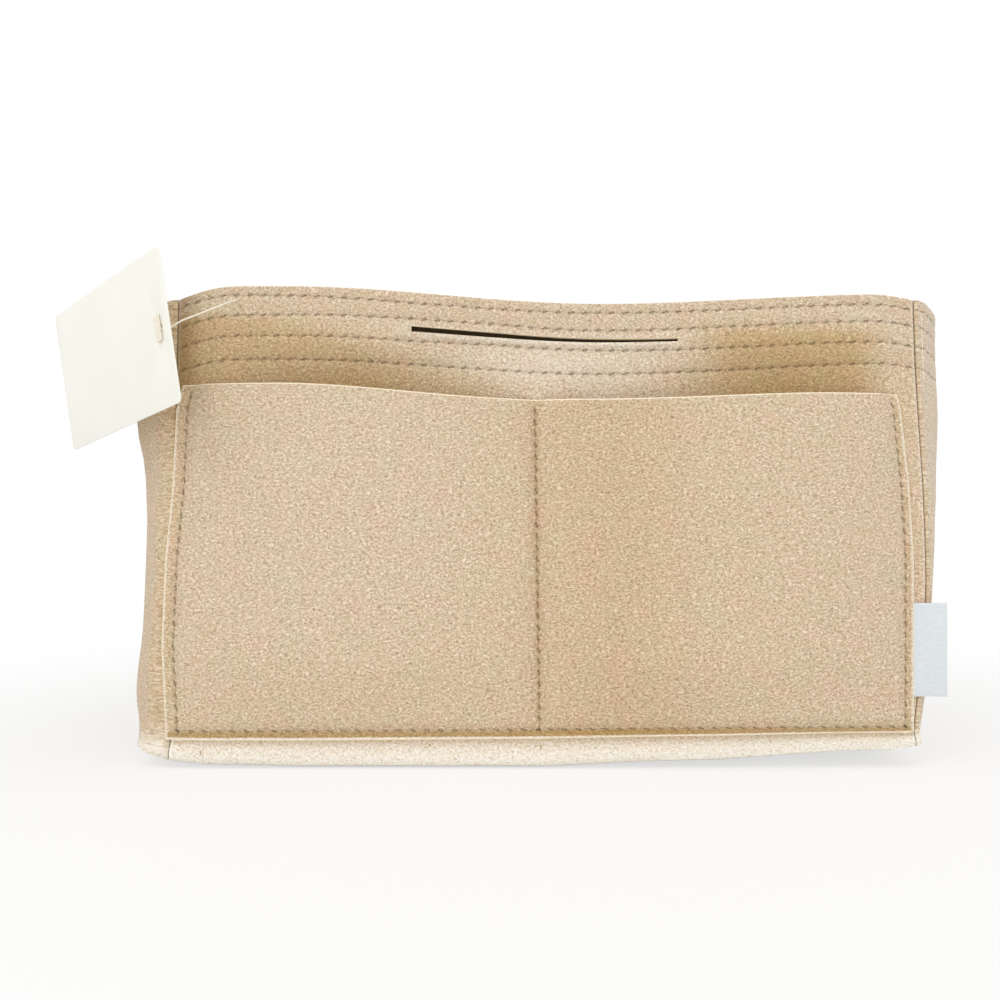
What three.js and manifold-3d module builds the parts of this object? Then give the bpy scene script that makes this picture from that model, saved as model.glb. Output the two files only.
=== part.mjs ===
// Purse organizer insert sewn from needle-punched felt, standing on its base.
// Millimetres, +Z up. The front faces -Y and +X is to the right.
// The origin is the middle of the base's underside.
import * as THREE from 'three';
import { mergeVertices } from 'three/addons/utils/BufferGeometryUtils.js';
import Module from 'manifold-3d';

const wasm = await Module();
wasm.setup();

// Cloth and fits
const felt = 2.2;
const pocketFelt = 1.8;
const clearance = 0.3;
const seamAllowance = 8;
const creaseEase = 0.2;
const creaseRadius = felt + creaseEase;
const cutOverrun = 4;

// Body
const rimHalfWidth = 138;
const baseSpread = 4;
const baseHalfWidth = rimHalfWidth + baseSpread;
const halfDepth = 70;
const baseRoll = 10;
const rimLow = 173.4;
const rimLowX = 20;
const rimLeftRise = 6.4;
const rimLeftRun = 115;
const rimRightRise = 3.8;
const rimRightRun = 110;
const rimLeftDroop = 4.9;
const rimRightDroop = 2;
const rimDroopRun = 24;
const rimBackRise = 1.6;
const rimBack = rimLow + rimBackRise;
const rimBackWave = 1;
const rimSideDroop = 5;
const facingDepth = 30;

// How far each gusset bows out: beside the rim, at the waist and near the base
const leftBow = { rim: 25, waist: 18, base: 25 };
const rightBow = { rim: 21, waist: 13, base: 5 };
const bowWaistShare = 0.49;
const bowWaistZ = rimLow * bowWaistShare;
const bowRun = 50;
const bowFlatness = 2.6;

// Hollows that the front wall has behind the pocket mouths
const hollowDepth = 4;
const hollowDrop = 33.4;
const hollowZ = rimLow - hollowDrop;
const hollowUp = 22;
const hollowDown = 70;
const hollowShares = [{ middle: -0.543, half: 0.449 }, { middle: 0.638, half: 0.406 }];

// Grip slot through the rim
const slot = { length: 100, height: 2, drop: 11.9, fallDegrees: 2.7 };

// Outer pocket panels, the front one as it lies
const outerPocket = {
  leftInset: 1, rightInset: 4.5, leftTaper: 5.3, rightTaper: 4.5, taperFrom: 90,
  bottomSlant: 2, seamX: -2.8, seamMargin: 4, crown: 5.5,
  mouthDrop: 36.1, leftRise: 5.8, leftRun: 100, rightRise: 2.3, rightFrom: 20, rightRun: 95,
};
const pocketLeft = baseHalfWidth - outerPocket.leftInset;
const pocketRight = baseHalfWidth - outerPocket.rightInset;
const pocketMouthLow = rimLow - outerPocket.mouthDrop;

// A panel reaches its full crown this share of its height above its lower seam
const crownRiseShare = 0.25;

// Inner pocket panels
const innerPocket = { inset: 10, bottomRise: 1, mouthDrop: 30.9, crown: 6, seamShares: [-0.336, 0.305] };

// Zipped divider in the middle
const divider = { swell: 6, endRun: 30, mouthRun: 25, baseRun: 30, mouthDrop: 13.4, endInset: 30 };
const dividerMouth = rimLow - divider.mouthDrop;
const zipTape = { thickness: 0.6, drop: 0.8 };
const zipCoil = { width: 2.2, height: 1.8, shoulderShare: 0.7 };
const zipStop = { length: 3, wall: 0.9, crown: 0.8 };
const zipPull = { length: 26, width: 6.4, thickness: 1.1, bar: 1.1, ringLength: 5, tipHole: 1.3 };
const zipSlider = {
  length: 10, wall: 1.1, crown: 1.2,
  bridgeLength: 6.6, bridgeWidth: 1.8, bridgeBar: 1.1, windowPlay: 0.9,
};
const sliderWindow = zipPull.thickness + zipSlider.windowPlay;

// Key strap and its snap hook
const keyStrap = { y: -18, width: 12, thickness: 1.6, drop: 4.9, length: 44, loopStandOff: 1.2 };
const claspEye = { play: 1, innerHeight: 8, wire: 1.2, loopPlay: 0.5, block: 3, blockDepth: 3 };
const claspHook = { neck: 2.5, neckRadius: 1.8, ring: 8, wire: 1.5, mouthFrom: -25, mouthTo: 55 };
const claspGate = { knuckleWall: 0.8, pin: 0.6, cheek: 0.9, leaf: 1.3, overlap: 0.4 };
const gateBore = claspGate.pin + clearance;
const gateKnuckle = gateBore + claspGate.knuckleWall;

// Folded side label, tucked behind the outer pocket's right edge
const label = { tuck: 6.5, reach: 13, bottom: 26.4, top: 61.7, thickness: 0.8 };

// Swing tag: the hole in the front wall, the card, and how its own hole hangs from the wall's
const pinHole = { fromCorner: 23.3, drop: 5.79, radius: 0.9 };
const tagPin = {
  radius: 0.35, barRadius: 0.6, barLength: 10,
  paddleWidth: 3, paddleHeight: 9, paddleThickness: 0.8, routeShares: [0.35, 0.7],
};
const card = { width: 90, height: 55, thickness: 0.5, corner: 3, holeInset: 7, holeRadius: 2 };
const cardHang = { out: 20.1, front: 28.1, drop: 14.4 };
const cardTurn = { yaw: -45.1, pitch: -8.7, roll: 4.4 };

// How finely the shapes are divided
const wallColumns = 20;
const pocketColumns = 10;
const cellColumns = 8;
const ringSteps = 24;
const pinSteps = 26;
const arcSegments = 5;
const roundSides = 16;
const rodSides = 12;
const thinSides = 8;

const degree = Math.PI / 180;

// Colours
const feltBeige = material(0xcdb08a, 0.95, 0);
const feltInside = material(0xc8aa84, 0.95, 0);
const tapeBeige = material(0xb79a74, 0.8, 0);
const nylonBeige = material(0xc9a877, 0.5, 0);
const zincAlloy = material(0xc9c6c0, 0.3, 1);
const satinWhite = material(0xe3e8ee, 0.5, 0);
const cardIvory = material(0xf3f3e6, 0.6, 0);
const nylonClear = material(0xf0ede6, 0.35, 0);

function material(color, roughness, metalness) {
  return new THREE.MeshStandardMaterial({ color, roughness, metalness });
}

// Shaping functions
function mix(a, b, share) {
  return a + (b - a) * share;
}

function smooth(share) {
  const t = THREE.MathUtils.clamp(share, 0, 1);
  return t * t * (3 - 2 * t);
}

function lobe(share) {
  const rest = Math.max(0, 1 - share * share);
  return rest * rest;
}

function spread(from, to, count) {
  return Array.from({ length: count + 1 }, (_, i) => mix(from, to, i / count));
}

// Body outline
function halfWidthAt(z) {
  return mix(baseHalfWidth, rimHalfWidth, THREE.MathUtils.clamp(z / rimLow, 0, 1));
}

function frontRim(x) {
  const droopFrom = rimHalfWidth - rimDroopRun;
  const leftRise = rimLeftRise * smooth((rimLowX - x) / rimLeftRun);
  const rightRise = rimRightRise * smooth((x - rimLowX) / rimRightRun);
  const leftDroop = rimLeftDroop * smooth((-x - droopFrom) / rimDroopRun);
  const rightDroop = rimRightDroop * smooth((x - droopFrom) / rimDroopRun);
  return rimLow + leftRise + rightRise - leftDroop - rightDroop;
}

function backRim(x) {
  return rimBack + rimBackWave * Math.cos(Math.PI * x / rimHalfWidth);
}

function sideRim(side, y) {
  const across = THREE.MathUtils.clamp((y + halfDepth) / (2 * halfDepth), 0, 1);
  const corners = mix(frontRim(side * rimHalfWidth), backRim(side * rimHalfWidth), across);
  return corners - rimSideDroop * (1 - (y / halfDepth) ** 2);
}

function hollowAt(x, z) {
  const upright = lobe((z - hollowZ) / (z > hollowZ ? hollowUp : hollowDown));
  const across = hollowShares.map(({ middle, half }) => lobe((x / rimHalfWidth - middle) / half));
  return hollowDepth * upright * across.reduce((sum, share) => sum + share);
}

function bowAt(side, z) {
  const bow = side < 0 ? leftBow : rightBow;
  const above = smooth((z - bowWaistZ) / bowRun);
  const below = smooth((bowWaistZ - z) / bowRun);
  return bow.waist + (bow.rim - bow.waist) * above + (bow.base - bow.waist) * below;
}

// The gusset's outer face leaves its seam round a crease that turns this far from the allowance
const creaseTurn = 135 * degree;
const creaseOut = creaseRadius * (1 - Math.cos(creaseTurn));
const creaseIn = creaseRadius * (1 - Math.sin(creaseTurn));
const gussetFanZ = halfDepth;

function bowShare(inward) {
  return 1 - (1 - inward) ** bowFlatness;
}

function gussetFaceX(side, y, z) {
  const beside = 1 - Math.min(1, Math.abs(y) / (halfDepth - creaseIn));
  const above = Math.min(1, Math.max(0, z - creaseIn) / (gussetFanZ - creaseIn));
  return side * (halfWidthAt(z) + clearance + creaseOut + bowAt(side, z) * bowShare(Math.min(beside, above)));
}

// A closed sheet from a grid of points with inward normals. The second face lies one thickness
// along the normals. A grid folded on itself meets along its last column, which needs no edge.
function sheetGeometry(grid, thickness, folded = false) {
  const positions = [];
  const inner = grid.map((row) => row.map(
    ({ point, normal }) => point.clone().addScaledVector(normal, thickness),
  ));
  const outer = grid.map((row) => row.map(({ point }) => point));
  const quad = (a, b, c, d) => {
    [a, b, c, a, c, d].forEach((corner) => positions.push(corner.x, corner.y, corner.z));
  };
  const rows = grid.length - 1;
  const columns = grid[0].length - 1;
  for (let i = 0; i < rows; i++) {
    for (let j = 0; j < columns; j++) {
      quad(outer[i][j], outer[i][j + 1], outer[i + 1][j + 1], outer[i + 1][j]);
      quad(inner[i][j], inner[i + 1][j], inner[i + 1][j + 1], inner[i][j + 1]);
    }
    quad(outer[i][0], outer[i + 1][0], inner[i + 1][0], inner[i][0]);
    if (!folded) quad(outer[i + 1][columns], outer[i][columns], inner[i][columns], inner[i + 1][columns]);
  }
  for (let j = 0; j < columns; j++) {
    quad(outer[0][j + 1], outer[0][j], inner[0][j], inner[0][j + 1]);
    quad(outer[rows][j], outer[rows][j + 1], inner[rows][j + 1], inner[rows][j]);
  }
  const geometry = new THREE.BufferGeometry();
  geometry.setAttribute('position', new THREE.Float32BufferAttribute(positions, 3));
  return facedOut(welded(geometry));
}

// A closed surface whose volume comes out negative has its triangles turned round
function facedOut(geometry) {
  const corner = [new THREE.Vector3(), new THREE.Vector3(), new THREE.Vector3()];
  const index = Array.from(geometry.index.array);
  let volume = 0;
  for (let i = 0; i < index.length; i += 3) {
    corner.forEach((point, k) => point.fromBufferAttribute(geometry.attributes.position, index[i + k]));
    volume += corner[0].dot(corner[1].cross(corner[2]));
  }
  if (volume < 0) geometry.setIndex(index.reverse());
  return geometry;
}

// Shared vertices merged, and triangles that have no area left out
function welded(geometry) {
  const bare = geometry.clone();
  bare.deleteAttribute('normal');
  bare.deleteAttribute('uv');
  const merged = mergeVertices(bare);
  const index = merged.index.array;
  const kept = [];
  for (let i = 0; i < index.length; i += 3) {
    const [a, b, c] = [index[i], index[i + 1], index[i + 2]];
    if (a !== b && b !== c && c !== a) kept.push(a, b, c);
  }
  merged.setIndex(kept);
  return merged;
}

// Booleans
function solidOf(geometry) {
  const merged = welded(geometry);
  return new wasm.Manifold(new wasm.Mesh({
    numProp: 3,
    vertProperties: new Float32Array(merged.attributes.position.array),
    triVerts: new Uint32Array(merged.index.array),
  }));
}

function geometryOf(solid) {
  const mesh = solid.getMesh();
  const geometry = new THREE.BufferGeometry();
  geometry.setAttribute('position', new THREE.Float32BufferAttribute(mesh.vertProperties, 3));
  geometry.setIndex(Array.from(mesh.triVerts));
  return geometry;
}

function joined(...geometries) {
  return geometryOf(geometries.map(solidOf).reduce((sum, solid) => sum.add(solid)));
}

function cutFrom(geometry, ...cutters) {
  return geometryOf(cutters.map(solidOf).reduce((left, solid) => left.subtract(solid), solidOf(geometry)));
}

// Simple bodies between limits or along an axis
function blockBetween(low, high) {
  const size = high.map((value, i) => value - low[i]);
  const geometry = new THREE.BoxGeometry(...size);
  return geometry.translate(...low.map((value, i) => value + size[i] / 2));
}

function rodAlong(axis, radius, from, to, sides, at) {
  const geometry = new THREE.CylinderGeometry(radius, radius, to - from, sides);
  geometry.translate(0, (from + to) / 2, 0);
  if (axis === 'x') geometry.rotateZ(-Math.PI / 2);
  if (axis === 'z') geometry.rotateX(Math.PI / 2);
  return geometry.translate(...at);
}

function wireAlong(points, radius, steps) {
  const section = new THREE.Shape();
  section.absarc(0, 0, radius, 0, 2 * Math.PI);
  const extrudePath = new THREE.CatmullRomCurve3(points);
  const extrusion = { steps, extrudePath, curveSegments: arcSegments, bevelEnabled: false };
  return new THREE.ExtrudeGeometry(section, extrusion);
}

// Scene graph
const insert = new THREE.Group();

function addPiece(name, geometry, finish, parent = insert) {
  const mesh = new THREE.Mesh(geometry, finish);
  mesh.name = name;
  parent.add(mesh);
  return mesh;
}

// The wrap's path from the front rim under the base to the back rim, shared by the gussets' seams
const wallShares = [1, 0.965, 0.93, 0.885, 0.83, 0.77, 0.7, 0.6, 0.45, 0.25, 0];
const rollSteps = 3;
const baseSteps = 4;

function seamStations() {
  const frontWall = wallShares.map((share) => ({ wall: 'front', share }));
  const rollTurns = spread(0, Math.PI / 2, rollSteps).slice(1, -1);
  const frontRoll = rollTurns.map((turn) => ({ wall: 'frontRoll', turn }));
  const rollCentre = halfDepth - baseRoll;
  const base = spread(-rollCentre, rollCentre, baseSteps).map((y) => ({ wall: 'base', y }));
  const backRoll = frontRoll.map(({ turn }) => ({ wall: 'backRoll', turn })).reverse();
  const backWall = wallShares.map((share) => ({ wall: 'back', share })).reverse();
  return [...frontWall, ...frontRoll, ...base, ...backRoll, ...backWall];
}

// Where a station of the path lies at a given x: its y and z, and its inward normal
function stationPoint(station, x) {
  const rollCentre = halfDepth - baseRoll;
  if (station.wall === 'front') {
    return { y: -halfDepth, z: mix(baseRoll, frontRim(x), station.share), ny: 1, nz: 0 };
  }
  if (station.wall === 'back') {
    return { y: halfDepth, z: mix(baseRoll, backRim(x), station.share), ny: -1, nz: 0 };
  }
  if (station.wall === 'base') {
    return { y: station.y, z: 0, ny: 0, nz: 1 };
  }
  const direction = station.wall === 'frontRoll' ? 1 : -1;
  const ny = direction * Math.cos(station.turn);
  const nz = Math.sin(station.turn);
  return { y: -direction * rollCentre - baseRoll * ny, z: baseRoll - baseRoll * nz, ny, nz };
}

const creaseSteps = 2;

function wrapPoint(station, side, x, turn, inward, bend) {
  const { y, z, ny, nz } = stationPoint(station, x);
  const hollow = station.wall === 'front' ? hollowAt(x, z) : 0;
  const edge = halfWidthAt(z);
  const reach = side === 0 ? x * edge / rimHalfWidth : side * (edge - creaseRadius * (1 - Math.sin(turn)));
  const depth = inward + hollow;
  const normal = new THREE.Vector3(-side * Math.sin(bend), Math.cos(bend) * ny, Math.cos(bend) * nz);
  return { point: new THREE.Vector3(reach, y + depth * ny, z + depth * nz), normal };
}

function wrapRow(station) {
  const turns = spread(0, Math.PI / 2, creaseSteps);
  const wallReach = rimHalfWidth * (1 - creaseRadius / halfWidthAt(stationPoint(station, 0).z));
  const across = spread(-wallReach, wallReach, wallColumns).slice(1, -1);
  const sideColumns = (side) => {
    const edgeX = side * rimHalfWidth;
    const crease = turns.map((turn) => (
      wrapPoint(station, side, edgeX, turn, creaseRadius * (1 - Math.cos(turn)), turn)));
    return [...crease, wrapPoint(station, side, edgeX, Math.PI / 2, seamAllowance, Math.PI / 2)];
  };
  const wall = across.map((x) => wrapPoint(station, 0, x, 0, 0, 0));
  return [...sideColumns(-1).reverse(), ...wall, ...sideColumns(1)];
}

function slotCutter() {
  const cutter = new THREE.BoxGeometry(slot.length, felt * cutOverrun + hollowDepth, slot.height);
  cutter.rotateY(slot.fallDegrees * degree);
  return cutter.translate(0, -halfDepth + felt, rimLow - slot.drop);
}

const pinHoleX = pinHole.fromCorner - rimHalfWidth;
const pinHoleZ = frontRim(pinHoleX) - pinHole.drop;

function pinHoleCutter() {
  const behind = -halfDepth + hollowDepth + felt * cutOverrun;
  return rodAlong('y', pinHole.radius, -halfDepth - felt, behind, rodSides, [pinHoleX, 0, pinHoleZ]);
}

const wrapSheet = sheetGeometry(seamStations().map(wrapRow), felt);
addPiece('body_wrap', cutFrom(wrapSheet, slotCutter(), pinHoleCutter()), feltBeige);

// Gussets: an allowance beside the wrap's, a crease, then a face that bows out to the middle
const bowShares = [0.13, 0.26, 0.42, 0.6, 0.8, 1];

function gussetRow(station, side) {
  const edgeX = side * rimHalfWidth;
  const { y, z } = stationPoint(station, edgeX);
  const upright = station.wall === 'front' || station.wall === 'back';
  const middleZ = upright ? Math.max(gussetFanZ, mix(baseRoll, sideRim(side, 0), station.share)) : gussetFanZ;
  const inwardRun = Math.hypot(y, middleZ - z);
  const direction = upright && middleZ > gussetFanZ
    ? new THREE.Vector3(0, -Math.sign(y), 0)
    : new THREE.Vector3(0, -y, middleZ - z).divideScalar(inwardRun);
  const seamX = side * (halfWidthAt(z) + clearance);
  const start = new THREE.Vector3(seamX, y, z);
  const outward = new THREE.Vector3(side, 0, 0);
  const at = (out, inward) => (
    start.clone().addScaledVector(outward, out).addScaledVector(direction, inward));
  const allowance = { point: at(0, seamAllowance), normal: outward };
  const crease = spread(0, creaseTurn, 2 * creaseSteps - 1).map((turn) => ({
    point: at(creaseRadius * (1 - Math.cos(turn)), creaseRadius * (1 - Math.sin(turn))),
    normal: outward.clone().multiplyScalar(Math.cos(turn)).addScaledVector(direction, Math.sin(turn)),
  }));
  const face = bowShares.map((share) => {
    const place = new THREE.Vector3(0, mix(y + direction.y * creaseIn, 0, share), 0);
    const rise = direction.z === 0 ? Math.sin(share * Math.PI / 2) : share;
    place.z = mix(z + direction.z * creaseIn, middleZ, rise);
    place.x = side * (halfWidthAt(place.z) + clearance + creaseOut + bowAt(side, place.z) * bowShare(share));
    const slope = bowAt(side, place.z) * bowFlatness * (1 - share) ** (bowFlatness - 1) / inwardRun;
    const normal = outward.clone().multiplyScalar(-1).addScaledVector(direction, slope).normalize();
    return { point: place, normal };
  });
  return [allowance, ...crease, ...face];
}

for (const [name, side] of [['left_gusset', -1], ['right_gusset', 1]]) {
  const grid = seamStations().map((station) => gussetRow(station, side));
  addPiece(name, sheetGeometry(grid, felt, true), feltBeige);
}

// Rim facings behind the four rows of stitching
const facingShares = [0, 0.33, 0.66, 1];
const facingHalfWidth = rimHalfWidth - felt - clearance;

function wallFacing(rim, faceY, inwardY) {
  const columns = spread(-facingHalfWidth, facingHalfWidth, wallColumns);
  const grid = facingShares.map((share) => columns.map((x) => {
    const z = rim(x) - facingDepth * share;
    const y = faceY(x, z) + inwardY * (felt + clearance);
    return { point: new THREE.Vector3(x, y, z), normal: new THREE.Vector3(0, inwardY, 0) };
  }));
  return sheetGeometry(grid, felt);
}

function sideFacing(side) {
  const half = bowShares.map((share) => (1 - share) * (halfDepth - creaseIn));
  const across = [...half.map((y) => -y), ...half.slice(0, -1).reverse()];
  const grid = facingShares.map((share) => across.map((y) => {
    const z = sideRim(side, y) - facingDepth * share;
    const inward = 1 - Math.abs(y) / (halfDepth - creaseIn);
    const slope = bowAt(side, z) * bowFlatness * (1 - inward) ** (bowFlatness - 1) / (halfDepth - creaseIn);
    const normal = new THREE.Vector3(-side, -Math.sign(y) * slope, 0).normalize();
    const point = new THREE.Vector3(gussetFaceX(side, y, z), y, z).addScaledVector(normal, felt + clearance);
    return { point, normal };
  }));
  return sheetGeometry(grid, felt);
}

const frontFace = (x, z) => -halfDepth + hollowAt(x, z);
const backFace = () => halfDepth;
const frontFacing = wallFacing(frontRim, frontFace, 1);
addPiece('front_rim_facing', cutFrom(frontFacing, slotCutter(), pinHoleCutter()), feltInside);
addPiece('back_rim_facing', wallFacing(backRim, backFace, -1), feltInside);
addPiece('left_rim_facing', sideFacing(-1), feltInside);
addPiece('right_rim_facing', sideFacing(1), feltInside);

// Outer pockets
function outerMouth(x) {
  const p = outerPocket;
  const leftRise = p.leftRise * smooth((p.seamX - x) / p.leftRun);
  const rightRise = p.rightRise * smooth((x - p.rightFrom) / p.rightRun);
  return pocketMouthLow + leftRise + rightRise;
}

function outerCrown(x, share) {
  const p = outerPocket;
  const [from, to] = x < p.seamX
    ? [p.seamMargin - pocketLeft, p.seamX]
    : [p.seamX, pocketRight - p.seamMargin];
  const across = Math.min(1, Math.abs((2 * x - from - to) / (to - from)));
  return p.crown * (1 - across ** 3) * smooth(share / crownRiseShare);
}

const outerShares = [0, 0.06, 0.14, 0.25, 0.5, 0.75, 1];

function outerPocketSheet(outwardY) {
  const p = outerPocket;
  const leftColumns = spread(-pocketLeft, p.seamX, pocketColumns);
  const rightColumns = spread(p.seamX, pocketRight, pocketColumns);
  const columns = [...leftColumns, ...rightColumns.slice(1)];
  const grid = outerShares.map((share) => columns.map((column) => {
    const bottom = baseRoll + p.bottomSlant * (column + pocketLeft) / (pocketLeft + pocketRight);
    const z = mix(bottom, outerMouth(column), share);
    const edgeTaper = column < p.seamX ? p.leftTaper / pocketLeft : p.rightTaper / pocketRight;
    const x = column * (1 - edgeTaper * smooth((z - p.taperFrom) / (pocketMouthLow - p.taperFrom)));
    const y = outwardY * (halfDepth + clearance + outerCrown(column, share));
    return { point: new THREE.Vector3(x, y, z), normal: new THREE.Vector3(0, outwardY, 0) };
  }));
  return sheetGeometry(grid, pocketFelt);
}

function labelBlock(margin) {
  const back = -halfDepth - clearance + margin;
  const front = -halfDepth - clearance - label.thickness - margin;
  return blockBetween(
    [pocketRight - label.tuck - margin, front, label.bottom - margin],
    [pocketRight + label.reach + margin, back, label.top + margin],
  );
}

addPiece('front_outer_pocket', cutFrom(outerPocketSheet(-1), labelBlock(clearance)), feltBeige);
addPiece('back_outer_pocket', outerPocketSheet(1), feltBeige);
addPiece('side_label', labelBlock(0), satinWhite);

// Inner pockets, each panel divided in three by its seams
const innerHalf = rimHalfWidth - innerPocket.inset;
const innerEdges = [-1, ...innerPocket.seamShares, 1].map((share) => share * innerHalf);

function innerCrown(x, share) {
  const last = innerEdges.length - 2;
  const cell = innerEdges.findIndex((edge, i) => x <= innerEdges[i + 1] || i === last);
  const [from, to] = [innerEdges[cell], innerEdges[cell + 1]];
  const across = Math.min(1, Math.abs((2 * x - from - to) / (to - from)));
  return innerPocket.crown * (1 - across ** 3) * smooth(share / crownRiseShare);
}

function innerPocketSheet(faceY, inwardY) {
  const cells = innerEdges.slice(1).map((edge, i) => spread(innerEdges[i], edge, cellColumns));
  const columns = cells.flatMap((cell, i) => cell.slice(i === 0 ? 0 : 1));
  const [bottom, mouth] = [baseRoll + innerPocket.bottomRise, rimLow - innerPocket.mouthDrop];
  const grid = outerShares.map((share) => columns.map((x) => {
    const z = mix(bottom, mouth, share);
    const y = faceY(x, z) + inwardY * (felt + clearance + innerCrown(x, share));
    return { point: new THREE.Vector3(x, y, z), normal: new THREE.Vector3(0, inwardY, 0) };
  }));
  return sheetGeometry(grid, pocketFelt);
}

addPiece('front_inner_pocket', innerPocketSheet(frontFace, 1), feltInside);
addPiece('back_inner_pocket', innerPocketSheet(backFace, -1), feltInside);

// Zipped divider: two panels that meet at the base and the ends and part at the zip
const dividerBase = felt + clearance;
const dividerTurnZ = seamAllowance + clearance;
const tapeZoneZ = dividerMouth - zipTape.drop - zipTape.thickness - clearance;
const dividerShares = [0, 0.08, 0.2, 0.5, 0.8, 0.92, 1];
const dividerPanelLevels = dividerShares.map((share) => mix(dividerTurnZ, tapeZoneZ, share));
const dividerLevels = [dividerBase, ...dividerPanelLevels, dividerMouth];
const dividerEndShares = [0, 0.04, 0.1, 0.3, 0.5, 0.7, 0.9, 0.96, 1];

function dividerEnd(side, z) {
  const besideAllowance = halfWidthAt(z) - felt - clearance;
  if (z <= dividerTurnZ) return side * besideAllowance;
  return gussetFaceX(side, 0, z) - side * 2 * (felt + clearance);
}

function dividerSheet(side) {
  const grid = dividerLevels.map((z) => dividerEndShares.map((across) => {
    const [left, right] = [dividerEnd(-1, z), dividerEnd(1, z)];
    const x = mix(left, right, across);
    const fromEnd = smooth(Math.min(x - left, right - x) / divider.endRun);
    const nearMouth = smooth((z - tapeZoneZ + divider.mouthRun) / divider.mouthRun);
    const aboveBase = smooth((z - dividerBase) / divider.baseRun);
    const swell = divider.swell * (1 - (1 - fromEnd) * (1 - nearMouth)) * aboveBase;
    const point = new THREE.Vector3(x, side * (clearance / 2 + swell), z);
    return { point, normal: new THREE.Vector3(0, side, 0) };
  }));
  return sheetGeometry(grid, pocketFelt);
}

addPiece('divider_front_panel', dividerSheet(-1), feltInside);
addPiece('divider_back_panel', dividerSheet(1), feltInside);

// Zip: a tape and a coil on each side, a stop at each end
const tapeTop = dividerMouth - zipTape.drop;
const tapeEnds = [dividerEnd(-1, dividerMouth) + clearance, dividerEnd(1, dividerMouth) - clearance];
const tapeReach = divider.swell + clearance / 2 - clearance;
const coilEnds = [tapeEnds[0] + divider.endInset, tapeEnds[1] - divider.endInset];

for (const [place, side] of [['front', -1], ['back', 1]]) {
  const [near, far] = [side * clearance / 2, side * tapeReach];
  const tapeLow = [tapeEnds[0], Math.min(near, far), tapeTop - zipTape.thickness];
  addPiece(`zip_tape_${place}`, blockBetween(tapeLow, [tapeEnds[1], Math.max(near, far), tapeTop]), tapeBeige);
  const coilBase = tapeTop + clearance;
  const outline = new THREE.Shape([
    new THREE.Vector2(near, coilBase),
    new THREE.Vector2(near + side * zipCoil.width, coilBase),
    new THREE.Vector2(near + side * zipCoil.width, coilBase + zipCoil.height / 2),
    new THREE.Vector2(near + side * zipCoil.width * zipCoil.shoulderShare, coilBase + zipCoil.height),
    new THREE.Vector2(near, coilBase + zipCoil.height),
  ]);
  const coil = new THREE.ExtrudeGeometry(outline, { depth: coilEnds[1] - coilEnds[0], bevelEnabled: false });
  coil.rotateX(Math.PI / 2).rotateZ(Math.PI / 2).translate(coilEnds[0], 0, 0);
  addPiece(`zip_coil_${place}`, coil, nylonBeige);
}

// A saddle over both coils, open below
const coilHalf = clearance / 2 + zipCoil.width;
const coilTop = tapeTop + clearance + zipCoil.height;

function saddle(from, to, wall, crown) {
  const half = coilHalf + clearance + wall;
  const low = tapeTop + clearance;
  const outside = blockBetween([from, -half, low], [to, half, coilTop + clearance + crown]);
  const inside = blockBetween(
    [from - cutOverrun, -coilHalf - clearance, low - cutOverrun],
    [to + cutOverrun, coilHalf + clearance, coilTop + clearance],
  );
  return cutFrom(outside, inside);
}

function stopAt(from) {
  return saddle(from, from + zipStop.length, zipStop.wall, zipStop.crown);
}

addPiece('zip_stop_left', stopAt(coilEnds[0]), zincAlloy);
addPiece('zip_stop_right', stopAt(coilEnds[1] - zipStop.length), zincAlloy);

// Slider with its bridge, and the pull whose bar runs through the bridge's window
const sliderFrom = coilEnds[0] + zipStop.length + clearance;
const sliderTo = sliderFrom + zipSlider.length;
const sliderMiddle = (sliderFrom + sliderTo) / 2;
const sliderTop = coilTop + clearance + zipSlider.crown;
const bridgeTop = sliderTop + sliderWindow + zipSlider.bridgeBar;
const pullZ = sliderTop + sliderWindow / 2;

function sliderBody() {
  const body = saddle(sliderFrom, sliderTo, zipSlider.wall, zipSlider.crown);
  const halfLength = zipSlider.bridgeLength / 2;
  const halfWidth = zipSlider.bridgeWidth / 2;
  const bridge = blockBetween(
    [sliderMiddle - halfLength, -halfWidth, sliderTop - zipSlider.crown / 2],
    [sliderMiddle + halfLength, halfWidth, bridgeTop],
  );
  const windowHalf = halfLength - zipSlider.bridgeBar;
  const window = blockBetween(
    [sliderMiddle - windowHalf, -halfWidth - cutOverrun, sliderTop],
    [sliderMiddle + windowHalf, halfWidth + cutOverrun, sliderTop + sliderWindow],
  );
  return joined(body, cutFrom(bridge, window));
}

function pullTab() {
  const half = zipPull.width / 2;
  const thick = zipPull.thickness / 2;
  const eyeHalf = zipSlider.bridgeWidth / 2 + clearance;
  const back = sliderMiddle - zipPull.bar / 2;
  const plate = blockBetween([back, -half, pullZ - thick], [back + zipPull.length, half, pullZ + thick]);
  const eye = blockBetween(
    [back + zipPull.bar, -eyeHalf, pullZ - cutOverrun],
    [back + zipPull.bar + zipPull.ringLength, eyeHalf, pullZ + cutOverrun],
  );
  const tipAt = [back + zipPull.length - half, 0, 0];
  const tipHole = rodAlong('z', zipPull.tipHole, pullZ - cutOverrun, pullZ + cutOverrun, rodSides, tipAt);
  return cutFrom(plate, eye, tipHole);
}

addPiece('zip_slider', sliderBody(), zincAlloy);
addPiece('zip_pull', pullTab(), zincAlloy);

// Key strap, hanging from the left rim facing
const strapFront = keyStrap.y - keyStrap.width / 2;
const strapTop = sideRim(-1, keyStrap.y) - keyStrap.drop;
const strapFaceX = gussetFaceX(-1, strapFront, strapTop) + 2 * (felt + clearance);
const loopBore = claspEye.wire + claspEye.loopPlay;
const loopRadius = loopBore + keyStrap.thickness;
const loopX = strapFaceX + keyStrap.loopStandOff + loopRadius;
const loopZ = strapTop - keyStrap.length;

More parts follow.
